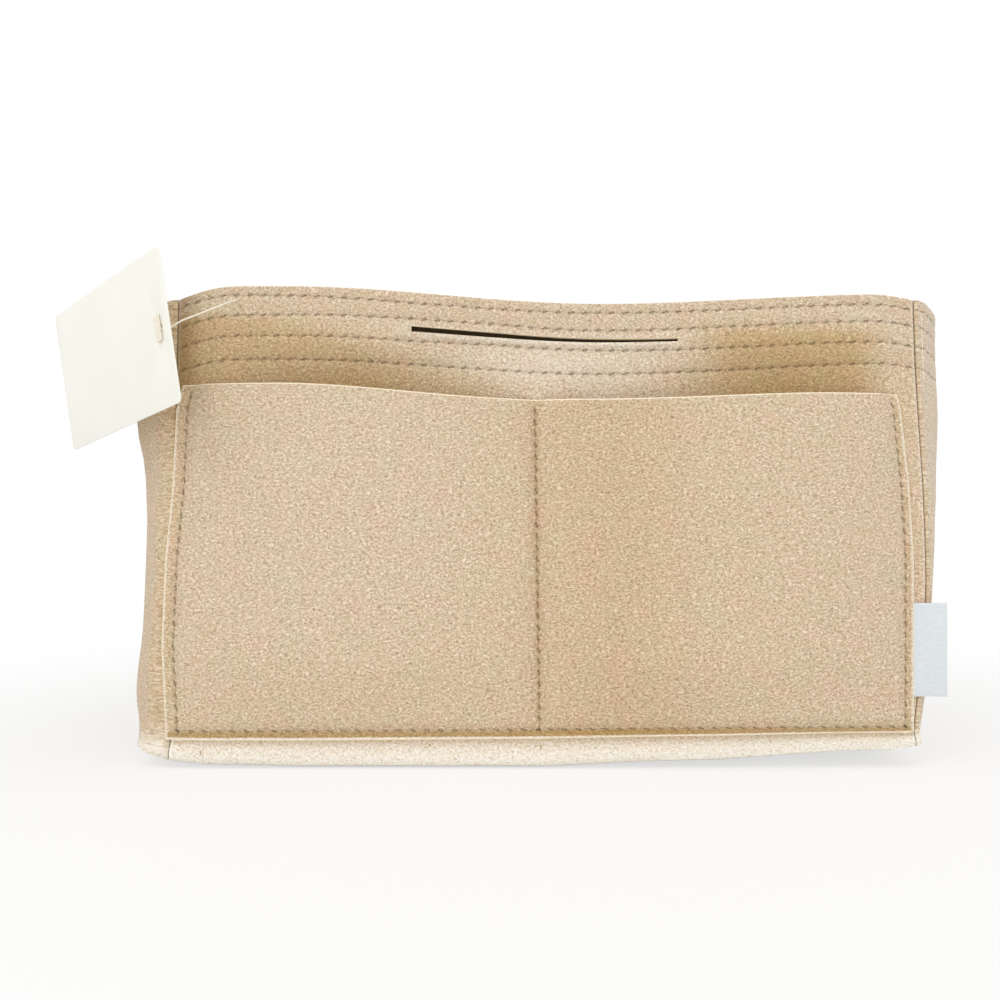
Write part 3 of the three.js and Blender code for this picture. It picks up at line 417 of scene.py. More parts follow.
# The rows of stitching round the rim: how far each lies below the edge, at places along the front
rowPlaces = (-138.0, -113.0, -50.0, -17.0, 10.0, 50.0, 92.0, 138.0)
frontRows = [
    (3.3, 3.3, 4.0, 3.5, 3.4, 3.5, 3.7, 3.7),
    (10.9, 10.9, 9.9, 9.3, 9.9, 10.0, 10.0, 9.9),
    (18.6, 18.6, 18.2, 17.0, 17.3, 17.7, 17.8, 17.6),
    (27.4, 27.4, 26.8, 26.4, 26.3, 26.1, 25.9, 25.7),
]
slot = {"halfLength": 50.0, "left": 1.2, "right": 0.6, "line": (14.75, 14.75, 13.7, 13.4, 13.6, 14.0, 13.9, 13.8)}
acrossSteps = tuple(sign * stitch[key] for sign, keys in ((-1, ("far", "rim", "core")), (1, ("core", "rim", "far")))
                    for key in keys)
wallHoles = [round(h, 4) for h in np.linspace(-135.5, 135.5, 55)]


def rowDrop(row, x):
    return np.interp(x, rowPlaces, frontRows[row])


def slotDrop(x):
    return np.interp(x, rowPlaces, slot["line"])


def holeColumns(holes, extra=()):
    steps = (-stitch["dashEnd"], -stitch["dash"], stitch["dash"], stitch["dashEnd"])
    return sorted(set(round(h + s, 4) for h in holes for s in steps) | set(extra))


def seams(lines):
    # how deep the felt is drawn in beside lines of stitching, and the painted shade in their needle holes and along
    # their grooves; a line is the distance along it and across it at each point, and its needle holes
    depth = dark = 0.0
    for along, across, holes in lines:
        index = np.abs(along[..., None] - np.asarray(holes)).argmin(axis=-1)
        gap = along - np.asarray(holes)[index]
        # the mark at each hole slants, and no hole is as dark as the next
        away = across + stitch["slant"] * gap * hill(gap, stitch["slantRun"])
        uneven = 0.6 + 0.4 * ((np.sin(index * 12.9898 + len(holes)) * 43758.5453) % 1)
        inRow = (along > min(holes) - 3) & (along < max(holes) + 3)
        mark = 1 - smooth((np.abs(gap) - stitch["dash"] + 0.2) / 0.7)
        dip = stitch["channel"] * hill(away, stitch["channelWidth"])
        depth = depth + (dip + stitch["hole"] * mark * hill(away, stitch["holeWidth"])) * inRow
        # painted shade: a faint dark line along each row's groove, and darker marks in each needle hole
        groove = stitch["groove"] * hill(away, stitch["grooveWidth"])
        marks = stitch["dark"] * uneven * mark * hill(away, stitch["darkWidth"]) + groove
        dark = np.maximum(dark, np.minimum(1, marks) * inRow)
    return depth, dark


def gridOf(*parts):
    # one array of places from their coordinates, each of which may be a row, a column or a grid
    return np.stack(np.broadcast_arrays(*parts), axis=-1)


# Steps that many pieces go through

def selectOnly(pieces):
    bpy.ops.object.select_all(action="DESELECT")
    for piece in pieces:
        piece.select_set(True)
    bpy.context.view_layer.objects.active = pieces[0]


def pointsOf(mesh):
    values = np.zeros(len(mesh.vertices) * 3)
    mesh.vertices.foreach_get("co", values)
    return values.reshape(-1, 3)


def setPoints(mesh, points):
    mesh.vertices.foreach_set("co", (points * mm).reshape(-1))


def applyAll(piece):
    selectOnly([piece])
    for modifier in list(piece.modifiers):
        bpy.ops.object.modifier_apply(modifier=modifier.name)


def joinCopies(piece, places):
    # the piece and copies of it, each moved to its own set of points, made into one
    copies = [piece]
    for k in range(1, len(places)):
        copy = piece.copy()
        copy.data = piece.data.copy()
        bpy.context.collection.objects.link(copy)
        copies.append(copy)
    for copy, points in zip(copies, places):
        setPoints(copy.data, points)
    selectOnly(copies)
    bpy.ops.object.join()
    piece.data.update()
    bpy.ops.object.shade_smooth()


def ownedBy(piece, bodyName, node=None):
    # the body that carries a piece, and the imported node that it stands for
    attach(piece, bodyName)
    if node:
        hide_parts(node)


# Cloth: a grid of points with its thickness, its cut edge and its thread

def clothGrid(name, points, flat, needle=0.0, paintedLightAndTint=0.0, gone=None, folds=()):
    # flat is where each point lies on the cut cloth; gone says which cells are cut out;
    # folds are the columns where it is folded tighter than its thickness, so squeezed thin
    rows, columns = points.shape[:2]
    bpy.ops.object.select_all(action="DESELECT")
    bpy.ops.mesh.primitive_grid_add(x_subdivisions=columns - 1, y_subdivisions=rows - 1, size=1)
    piece = bpy.context.object
    piece.name = piece.data.name = name
    mesh = piece.data
    start = pointsOf(mesh)
    column = np.rint((start[:, 0] + 0.5) * (columns - 1)).astype(int)
    row = np.rint((start[:, 1] + 0.5) * (rows - 1)).astype(int)
    setPoints(mesh, points[row, column])
    folded = np.isin(np.arange(columns), folds)
    for key, values in (("needle", needle), ("paintedLightAndTint", paintedLightAndTint), ("fold", folded * 1.0)):
        layer = mesh.attributes.new(key, "FLOAT", "POINT")
        layer.data.foreach_set("value", np.broadcast_to(values, (rows, columns))[row, column].astype(np.float32))
    for layer in list(mesh.uv_layers):
        mesh.uv_layers.remove(layer)
    layer = mesh.uv_layers.new(name="cloth")
    corner = np.zeros(len(mesh.loops), dtype=int)
    mesh.loops.foreach_get("vertex_index", corner)
    layer.uv.foreach_set("vector", (flat[row, column][corner] * mm).reshape(-1))
    if folded.any():
        depth = piece.vertex_groups.new(name="cloth depth")
        for share, members in ((1.0, ~folded[column]), (cloth["foldDepth"], folded[column])):
            depth.add(np.nonzero(members)[0].tolist(), share, "REPLACE")
    if gone:
        cut = bmesh.new()
        cut.from_mesh(mesh)
        faces = [f for f in cut.faces
                 if gone(min(row[v.index] for v in f.verts), min(column[v.index] for v in f.verts))]
        bmesh.ops.delete(cut, geom=faces, context="FACES")
        cut.to_mesh(mesh)
        cut.free()
    mesh.update()
    return piece


def faceOut(mesh, outward):
    # outward is the way the sheet looks, or gives it for each face centre; a sheet that looks the other way is turned
    count = len(mesh.polygons)
    centre, normal, area = np.zeros(count * 3), np.zeros(count * 3), np.zeros(count)
    mesh.polygons.foreach_get("center", centre)
    mesh.polygons.foreach_get("normal", normal)
    mesh.polygons.foreach_get("area", area)
    ways = outward(centre.reshape(-1, 3)) if callable(outward) else np.array(outward)
    if ((ways * normal.reshape(-1, 3)).sum(axis=1) * area).sum() < 0:
        mesh.flip_normals()


def sewnSheet(piece, thickness, outward, materials, edgeWidth=0.4, weld=False, hidden=0):
    # gives a grid its thickness on the inner side and a pale cut edge, and rounds that edge
    mesh = piece.data
    if weld:
        selectOnly([piece])
        bpy.ops.object.mode_set(mode="EDIT")
        bpy.ops.mesh.select_all(action="SELECT")
        bpy.ops.mesh.remove_doubles(threshold=0.02 * mm)
        bpy.ops.object.mode_set(mode="OBJECT")
    for material in materials:
        mesh.materials.append(material)
    faceOut(mesh, outward)
    solidify = piece.modifiers.new("felt thickness", "SOLIDIFY")
    solidify.thickness = thickness * mm
    solidify.offset = -1
    solidify.material_offset = hidden
    solidify.material_offset_rim = 1
    if piece.vertex_groups:
        solidify.vertex_group = "cloth depth"
    applyAll(piece)
    piece.vertex_groups.clear()
    marked = bmesh.new()
    marked.from_mesh(mesh)
    weight = marked.edges.layers.float.new("bevel_weight_edge")
    fold = marked.verts.layers.float["fold"]
    for edge in marked.edges:
        if len({f.material_index == 1 for f in edge.link_faces}) > 1 and min(v[fold] for v in edge.verts) < 0.5:
            edge[weight] = 1.0
    marked.to_mesh(mesh)
    marked.free()
    bevel = piece.modifiers.new("worn cut edge", "BEVEL")
    bevel.limit_method = "WEIGHT"
    bevel.width = edgeWidth * mm
    bevel.segments = 2
    bevel.material = 1
    applyAll(piece)
    bpy.ops.object.shade_smooth_by_angle(angle=math.radians(50))
    print("   ", piece.name, len(mesh.polygons), "faces")


def holeCentre(points, row, column, sign):
    # the middle of the four points round a hole, and the way the cloth faces there
    corner = points[row - 1:row + 1, column - 1:column + 1].reshape(4, 3)
    wide = points[max(row - 2, 0):row + 2, max(column - 2, 0):column + 2]
    normal = np.cross(wide[-1, -1] - wide[0, 0], wide[-1, 0] - wide[0, -1]) * sign
    return corner.mean(axis=0), normal / np.linalg.norm(normal)


def stitchesAlong(points, cells, sign):
    # the stitches that join each hole of a line to the next
    ends = [holeCentre(points, row, column, sign) for row, column in cells]
    return [(a[0], b[0], a[1] + b[1]) for a, b in zip(ends, ends[1:])]


def oneStitch():
    # a short length of thread, with rings of points along it to arch it by
    bpy.ops.object.select_all(action="DESELECT")
    bpy.ops.mesh.primitive_cylinder_add(vertices=6, radius=1, depth=1, end_fill_type="NOTHING",
                                        rotation=(0, math.pi / 2, 0))
    piece = bpy.context.object
    bpy.ops.object.transform_apply(location=True, rotation=True, scale=True)
    bpy.ops.object.mode_set(mode="EDIT")
    bpy.ops.mesh.select_all(action="DESELECT")
    bpy.ops.object.mode_set(mode="OBJECT")
    for edge in piece.data.edges:
        a, b = (piece.data.vertices[k].co.x for k in edge.vertices)
        edge.select = abs(a - b) > 0.5
    bpy.ops.object.mode_set(mode="EDIT")
    bpy.ops.mesh.subdivide(number_cuts=3)
    bpy.ops.object.mode_set(mode="OBJECT")
    return piece


def sewThread(name, stitches, bodyName="insert", lift=-0.02, fill=0.80):
    # one stitch is modelled, then copied between each pair of needle holes; its ends dive into the felt
    piece = oneStitch()
    piece.name = piece.data.name = name
    base = pointsOf(piece.data)
    arch = np.sin(np.clip(base[:, 0] + 0.5, 0, 1) * math.pi)
    waist = stitch["thread"] * (0.7 + 0.3 * arch)
    height = base[:, 2] * waist - stitch["sunk"] + (stitch["sunk"] + lift) * arch
    places = []
    for start, end, normal in stitches:
        along = (end - start) * fill
        up = normal - along * np.dot(normal, along) / np.dot(along, along)
        up = up / np.linalg.norm(up)
        across = np.cross(up, along / np.linalg.norm(along))
        places.append((start + end) / 2 + base[:, :1] * along + (base[:, 1] * waist)[:, None] * across
                      + height[:, None] * up)
    piece.data.materials.append(clouded["spun polyester thread"])
    joinCopies(piece, places)
    ownedBy(piece, bodyName)
    print("   ", name, len(stitches), "stitches")
    return piece


def sewnPiece(node, sheet, outward, size, slotName="inner_felt", word=None, on=("body_wrap",), held="stretched",
              thickness=cloth["felt"], materials=(outerFelt, cutEdge), **finish):
    # a piece of cloth and the thread that sews it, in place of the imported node
    grid, sewn = sheet
    word = word or node
    felt = clothGrid("felt_" + word, **grid)
    sewnSheet(felt, thickness, outward, materials, **finish)
    ownedBy(felt, "insert", node)
    sewThread("thread_" + word, sewn)


# The wrap: front wall, base and back wall in one length of felt

wrap = {
    "creaseCells": 5, "runColumn": 30, "plainFrom": 134.0, "lowestRimDrop": 31.0, "lipOut": 0.9, "lipIn": 0.25,
    # how much painted shade, as a warmer and deeper colour, and painted light, as a paler colour, each place gets
    "hollowPaintedShade": 0.95, "leftPaintedShade": 0.55, "rightPaintedShade": 0.7, "middlePaintedLight": 0.42, "endPaintedShade": 0.3,
    "endPaintedDarkness": 0.36, "creasePaleness": 0.4, "rollPaintedLight": 1.45, "lipPaintedLight": 0.5,
}
wallSteps = np.linspace(1, 0, 17)[1:]
rollTurns = np.radians(np.linspace(0, 90, 9))[1:]
baseSteps = np.linspace(-1, 1, 9)
# rows on the roll and the base have no drop from the rim to speak of: these stand for far below it
rollDrop, baseDrop = 200.0, 300.0


def rimRows(withSlot):
    # (upper line, lower line, share, offset) of each row of points from the rim down past the last stitching
    rows = [(0, 0, 0.0, 0.0), (0, 0, 0.0, 1.2)]
    for k in range(1, 5):
        rows += [(k, k, 0.0, step) for step in acrossSteps]
        if k == 2 and withSlot:
            rows += [(5, 5, 0.0, step) for step in (-2.0, -1.0, 1.0, 2.0)]
        elif k < 4:
            rows += [(k, k + 1, 0.35, 0.0), (k, k + 1, 0.65, 0.0)]
    return rows + [(4, 4, 0.0, 2.4)]


def lineRow(rows, k):
    # the row of points just below stitching line k
    return rows.index((k, k, 0.0, stitch["core"]))


def dropOf(row, x, front):
    lines = [lambda at: np.zeros_like(at)] + [lambda at, k=k: rowDrop(k, at) for k in range(4)] + [slotDrop]
    upper, lower, share, offset = row
    at = x if front else -x
    if upper != 5:
        return lines[upper](at) * (1 - share) + lines[lower](at) * share + offset
    # the slot's two lips, and a row halfway from each to its next stitching
    gap = np.interp(at, (-slot["halfLength"], slot["halfLength"]), (slot["left"], slot["right"]))
    lip = slotDrop(at) + np.sign(offset) * gap
    beyond = lines[2](at) + stitch["far"] if offset < 0 else lines[3](at) - stitch["far"]
    return (lip + beyond) / 2 if abs(offset) > 1.5 else lip


def slotCells(x, slotRow):
    # says which cells of a grid the grip slot takes out
    first, last = np.searchsorted(x, -slot["halfLength"]), np.searchsorted(x, slot["halfLength"])
    return lambda row, column: row == slotRow and first <= column < last


def wrapPath(x):
    # (y, z, inward y, inward z, drop below the rim, wall) of each row of points, front rim to back rim
    centre = body["halfDepth"] - body["baseRoll"]
    walls = []
    for rim, side in ((frontRim, -1), (backRim, 1)):
        rows = []
        for row in rimRows(side == -1):
            drop = dropOf(row, x, side == -1)
            rows.append((side * body["halfDepth"], rim(x) - drop, -side, 0.0, drop, side))
        for step in wallSteps:
            z = body["baseRoll"] + (rim(x) - wrap["lowestRimDrop"] - body["baseRoll"]) * step
            rows.append((side * body["halfDepth"], z, -side, 0.0, rim(x) - z, side))
        for turn in rollTurns:
            inY, inZ = -side * math.cos(turn), math.sin(turn)
            rows.append((side * centre - body["baseRoll"] * inY, body["baseRoll"] * (1 - inZ), inY, inZ, rollDrop, 0))
        walls.append(rows)
    base = [(step * centre, 0.0, 0.0, 1.0, baseDrop, 0) for step in baseSteps[1:-1]]
    rows = walls[0] + base + walls[1][::-1]
    return [np.array([row[k] * np.ones_like(x) for row in rows]) for k in range(6)]


def wrapSheet():
    turns = np.radians(np.linspace(0, 90, wrap["creaseCells"] + 1))
    radius, half = cloth["creaseRadius"], body["rimHalfWidth"]
    wall = np.array(holeColumns(wallHoles, [s * at for s in (-1, 1) for at in (wrap["plainFrom"], slot["halfLength"])]))
    ends = np.ones(len(turns) + 1)
    side = np.concatenate([-ends, np.zeros(len(wall)), ends])
    turn = np.concatenate([[math.pi / 2], turns[::-1], np.zeros(len(wall)), turns, [math.pi / 2]])
    tucked = radius * (1 - np.cos(turns))
    allowance = [cloth["seamAllowance"]]
    inward = np.concatenate([allowance, tucked[::-1], np.zeros(len(wall)), tucked, allowance])
    x = np.concatenate([-half * ends, wall, half * ends])
    y, z, inY, inZ, drop, facing = wrapPath(x)
    edge = halfWidthAt(z)
    place = np.where(side == 0, x * edge / half, side * (edge - radius * (1 - np.sin(turn))))
    dip, dark = seams([(x * np.ones_like(z), drop - rowDrop(k, x * -facing), wallHoles) for k in range(4)])
    flatPart = (facing != 0) & (side == 0)
    dark = dark * flatPart
    depth = inward + np.where(facing == -1, hollowAt(x, z), 0.0) + dip * flatPart + waveAt(x, z) * (facing != 0)
    # the lower lip of the slot stands out a little and catches the light
    under = drop - slotDrop(x)
    lip = (facing == -1) * smooth((slot["halfLength"] + 8 - np.abs(x)) / 14)
    depth = depth - lip * (wrap["lipOut"] * hill(under - 1.6, 1.1) - wrap["lipIn"] * hill(under + 1.6, 1.0))
    points = settled(gridOf(place, y + depth * inY, z + depth * inZ))
    # the cloth's length is measured down one column of points
    column = wrap["runColumn"]
    run = np.concatenate([[0], np.cumsum(np.hypot(np.diff(y[:, column]), np.diff(z[:, column])))])
    sewn = []
    columns = [len(ends) + np.searchsorted(wall, h) for h in wallHoles]
    for k in range(1, 5):
        lineRows = lineRow(rimRows(True), k), len(points) - lineRow(rimRows(False), k)
        for row in lineRows:
            sewn += stitchesAlong(points, [(row, c) for c in columns], -1)
        for row in lineRows:
            # the last stitch at each end goes into the upright seam
            for column, end in ((columns[0], 4), (columns[-1], len(x) - 5)):
                hole = holeCentre(points, row, column, -1)
                sewn.append((hole[0], points[row - 1:row + 1, end].mean(axis=0), hole[1]))
    # painted shade as a warmer, deeper colour in the two hollows and on the rim band's left and right, painted light as
    # a paler colour where the middle stands forward and on the base's roll
    paintedShading = wrap["hollowPaintedShade"] * hollowAt(x, z) / hollow["depth"]
    toLeft = smooth((-116 + (174 - z) * 3.3 - x) / 50 + 0.5) * smooth((0 - x) / 30) * smooth((171 - z) / 4)
    toRight = smooth((x - 48) / 26) * smooth((133 - x) / 20) * smooth((169 - z) / 9)
    paintedShading = np.maximum(paintedShading, np.maximum(wrap["leftPaintedShade"] * toLeft, wrap["rightPaintedShade"] * toRight))
    pale = hill((x - 2) / 1.0, 48) * hill(z - 151, 9) + 0.3 * hill(x - 122, 14) * hill(z - 168, 4)
    paintedLightAndTint = np.where(facing == -1, paintedShading * (z > 120) - wrap["middlePaintedLight"] * pale, 0.0)
    # painted shade, warmer and darker, at the left end where the wall turns back; the folded crease at each end is made
    # paler
    leftEnd = (facing != 0) * smooth((-x - 127) / 10) * smooth((z - 100) / 40)
    paintedLightAndTint = paintedLightAndTint + wrap["endPaintedShade"] * leftEnd - wrap["creasePaleness"] * (side != 0)
    dark = dark + (1 - dark) * wrap["endPaintedDarkness"] * leftEnd
    paintedLightAndTint = paintedLightAndTint - wrap["rollPaintedLight"] * smooth((15 - z) / 14) * (facing != 1)
    # painted highlight on the slot's two lips
    paintedLightAndTint = paintedLightAndTint - wrap["lipPaintedLight"] * lip * (hill(under - 1.8, 1.2) + hill(under + 1.3, 0.5))
    last = len(x) - 1
    folds = [k for k in range(1, wrap["creaseCells"] + 1)] + [last - k for k in range(1, wrap["creaseCells"] + 1)]
    gone = slotCells(x, rimRows(True).index((5, 5, 0.0, -1.0)))
    return {"points": points, "flat": gridOf(place, -run[:, None]), "needle": dark, "paintedLightAndTint": paintedLightAndTint, "gone": gone,
            "folds": folds}, sewn


def fromMiddle(places):
    return places * (0.2, 1, 1) - (0, 0, 0.1)


sewnPiece("body_wrap", wrapSheet(), fromMiddle, (299, 480), "outer_felt", word="wrap", on=(), held="folded")
print("wrap made")


# Gussets: a fan of cloth from the wall's edge to the middle line of each end

gusset = {
    "pitch": 5.0, "firstHole": -67.5, "holes": 28, "fanZ": 70.0, "ripple": 0.65, "rippleRun": 9.0,
    "sidePaintedShading": {-1: 0.2, 1: -0.12}, "footPaintedLight": 1.3,
}
sideHoles = [round(gusset["firstHole"] + gusset["pitch"] * k, 4) for k in range(gusset["holes"])]


def gussetRows(side):
    # (y, z, height of the row's middle, drop below the rim, whether it lies level) of each row, front rim to back rim
    x0 = side * body["rimHalfWidth"]
    middle = sideRim(side, 0.0)
    centre = body["halfDepth"] - body["baseRoll"]
    halves = []
    for facing, rim in ((-1, frontRim(x0)), (1, backRim(x0))):
        wallY = facing * body["halfDepth"]
        rows = []
        for row in rimRows(False):
            front, back = (float(dropOf(row, np.array([float(x0)]), way)[0]) for way in (True, False))
            drop = front if facing == -1 else back
            rows.append((wallY, rim - drop, middle - (front + back) / 2, drop, True))
        for step in wallSteps:
            z, top = (body["baseRoll"] + (edge - wrap["lowestRimDrop"] - body["baseRoll"]) * step
                      for edge in (rim, middle))
            rows.append((wallY, z, max(gusset["fanZ"], top), rim - z, top > gusset["fanZ"]))
        for turn in rollTurns:
            rows.append((facing * (centre + body["baseRoll"] * math.cos(turn)), body["baseRoll"] * (1 - math.sin(turn)),
                         gusset["fanZ"], rollDrop, False))
        halves.append(rows)
    base = [(step * centre, 0.0, gusset["fanZ"], baseDrop, False) for step in baseSteps[1:-1]]
    return halves[0] + base + halves[1][::-1]


def gussetSheet(side):
    inner = body["halfDepth"] - creaseIn
    reach = [y for y in holeColumns(sideHoles) if -inner + 0.8 < y < -0.2]
    reach = [-inner, -inner + 0.5] + reach + [0.0]
    share = (1 + np.array(reach) / inner)[1:]
    turns = np.linspace(0, creaseTurn, 8)
    radius = cloth["creaseRadius"]
    out = np.concatenate([[0], radius * (1 - np.cos(turns))])
    inward = np.concatenate([[cloth["seamAllowance"]], radius * (1 - np.sin(turns))])
    packed = 1 - (1 - np.minimum(1, share * inner / 4)) ** 2
    faceOutward = creaseOut + (cloth["packedCreaseOut"] - creaseOut) * packed
    x0 = side * body["rimHalfWidth"]
    points, dark, paintedLightAndTint = [], [], []
    for y, z, middleZ, drop, upright in gussetRows(side):
        run = math.hypot(y, middleZ - z)
        wayY, wayZ = (-np.sign(y), 0.0) if upright else (-y / run, (middleZ - z) / run)
        seamX = side * (halfWidthAt(z) + cloth["clearance"])
        crease = gridOf(seamX + side * out, y + wayY * inward, z + wayZ * inward)
        rise = 1 - (1 - share) ** 2 if upright else share
        faceY = (y + wayY * creaseIn) * (1 - share)
        faceZ = (z + wayZ * creaseIn) * (1 - rise) + middleZ * rise
        faceX = side * (halfWidthAt(faceZ) + cloth["clearance"] + faceOutward + bowAt(side, faceZ) * bowShare(share))
        dip, holes, creaseLine = np.zeros_like(faceY), np.zeros_like(faceY), np.zeros_like(out)
        if upright and drop < 40:
            atEdge = [rowDrop(k, x0 if y < 0 else -x0) for k in range(4)]
            atMiddle = [(rowDrop(k, x0) + rowDrop(k, -x0)) / 2 for k in range(4)]
            below = drop + (sideRim(side, 0.0) - middleZ - drop) * share
            dip, holes = seams([(faceY, below - (m + (e - m) * (1 - share)), sideHoles)
                                for e, m in zip(atEdge, atMiddle)])
            # painted shade in the crease where each row of stitching meets it
            creaseLine = creaseLine + max(0.45 * hill(drop - e, 0.32) for e in atEdge)
        ripple = gusset["ripple"] * np.sin(faceY / gusset["rippleRun"] * 2 + 0.02 * faceZ * side + 1.1 * side)
        ripple = ripple * smooth(share * 3) * smooth((170 - faceZ) / 30) * smooth((faceZ - 8) / 30)
        face = gridOf(faceX - side * (dip + ripple), faceY, faceZ)
        points.append(np.concatenate([crease, face]))
        dark.append(np.concatenate([creaseLine, holes]))
        # painted shade, warmer, in the crease and at the needle holes; painted shade over the whole left gusset and
        # painted light over the right; painted light, paler, at the foot
        paintedShading = np.concatenate([0.2 * hill(out - radius, 1.0), 0.2 * holes]) + gusset["sidePaintedShading"][side]
        paintedLightAndTint.append(paintedShading - gusset["footPaintedLight"] * smooth((15 - points[-1][:, 2]) / 11))
    points = settled(np.array(points))
    columns = [len(out) + np.searchsorted(reach[1:], h) for h in sideHoles if h < 0]
    sewn = []
    for k in range(1, 5):
        front = [(lineRow(rimRows(False), k), c) for c in columns]
        back = [(len(points) - lineRow(rimRows(False), k), c) for c in columns]
        sewn += stitchesAlong(points, front, -side) + stitchesAlong(points, back, -side)
        near, far = (holeCentre(points, *line[-1], side) for line in (front, back))
        sewn.append((near[0], far[0], near[1] + far[1]))
        for row, column in (front[0], back[0]):
            hole = holeCentre(points, row, column, side)
            sewn.append((hole[0], points[row - 1:row + 1, 4].mean(axis=0), hole[1]))
    return {"points": points, "flat": points[..., 1:], "needle": np.array(dark), "paintedLightAndTint": np.array(paintedLightAndTint),
            "folds": range(2, 8)}, sewn


for side, node in ((-1, "left_gusset"), (1, "right_gusset")):
    sewnPiece(node, gussetSheet(side), (side, 0, 0), (168, 186), "outer_felt", weld=True)
print("gussets made")


# The thread that shows in the groove of each upright seam, and the marks and ends that the sewing leaves

rung = {"pitch": 4.2, "low": 13.0, "belowRim": 7.0, "inside": 0.85, "outside": 1.0, "sink": 0.35, "slant": 0.3}
looseEnds = [
    # x, z, length, lean in degrees, and how far in front of the wall
    (-73.6, 149.8, 0.9, 40, -2.0), (-43.3, 143.8, 1.0, 25, -1.0), (-41.0, 142.3, 0.8, -20, -1.0),
    (6.9, 145.3, 0.9, 60, -0.2), (37.1, 141.4, 2.4, 85, -0.4), (87.8, 147.6, 0.9, 30, -2.0),
    (117.4, 142.3, 0.8, 20, -2.0), (-129.3, 6.6, 1.3, 70, -0.2), (-43.3, 9.0, 1.1, 60, -0.1),
    (-1.7, 8.8, 1.5, 75, -0.1), (41.4, 9.9, 1.0, 100, -0.1),
]


def seamRungs():
    rungs = []
    for side, face in ((-1, -1), (-1, 1), (1, -1), (1, 1)):
        rim = (frontRim if face < 0 else backRim)(side * body["rimHalfWidth"])
        y = face * (body["halfDepth"] - rung["sink"])
        for z in np.arange(rung["low"], rim - rung["belowRim"], rung["pitch"]):
            edge = halfWidthAt(z)
            steps = ((-rung["inside"], -rung["slant"]), (rung["outside"], rung["slant"]))
            ends = settled(np.array([(side * (edge + reach), y, z + rise) for reach, rise in steps]))
            rungs.append((ends[0], ends[1], np.array((0.0, face, 0.0))))
    return rungs


def threadEnds():
    tails = []
    for x, z, length, lean, out in looseEnds:
        start = np.array((x, -body["halfDepth"] - 0.1 + float(hollowAt(x, z)) + 0.2 * out, z))
        run = length * np.array((math.cos(math.radians(lean)), -0.1, -math.sin(math.radians(lean))))
        tails.append((settled(start), settled(start + run), np.array((0.0, -1.0, 0.0))))
    return tails


sewThread("thread_seam_rungs", seamRungs(), lift=0.1, fill=1.0)
sewThread("thread_ends", threadEnds(), lift=0.35, fill=1.0)


# Flat panels sewn to the walls: the outer pockets, and the inner pockets, each sewn down in three

outerPocket = {
    "left": -141.0, "right": 137.5, "bottom": 10.0, "height": 128.0, "mouthLow": 137.3, "seams": (-2.8,),
    # where its two side edges lie, by height
    "edgeZ": (10, 45, 78, 92, 107, 134, 143), "leftEdge": (-141.3, -143.0, -141.6, -140.2, -139.0, -138.2, -135.8),
    "rightEdge": (137.6, 137.6, 137.6, 136.9, 136.1, 133.6, 131.2), "bottomSlant": 2.0, "seamLean": 0.95,
    "leftRise": 5.8, "leftRun": 100.0, "rightRise": 2.3, "rightFrom": 20.0, "rightRun": 95.0,
    "leftMargin": 4.4, "rightMargin": 3.1, "bottomMargin": 3.4, "crown": 5.5, "puff": 1.5, "puffRun": 4.5,
    "pitch": 5.1, "seamPitch": 4.3,
}
innerPocket = {
    "left": -128.0, "right": 128.0, "bottom": 11.0, "height": 131.5, "mouthLow": 142.5, "seams": (-43.008, 39.04),
    "leftMargin": 3.6, "rightMargin": 3.6, "bottomMargin": 3.4, "crown": 6.0, "puff": 0.8, "puffRun": 4.0,
    "pitch": 5.1, "seamPitch": 5.1,
}


def outerMouth(x):
    p = outerPocket
    rise = p["leftRise"] * smooth((p["seams"][0] - x) / p["leftRun"])
    return p["mouthLow"] + rise + p["rightRise"] * smooth((x - p["rightFrom"]) / p["rightRun"])


def crownAt(p, edges, x, share):
    # how far the cloth between two upright seams stands off the wall
    crown = np.zeros_like(x)
    for a, b in zip(edges, edges[1:]):
        across = np.minimum(1, np.abs((2 * x - a - b) / (b - a)))
        crown = np.maximum(crown, 1 - across ** 3)
    return p["crown"] * crown * smooth(share / 0.25)


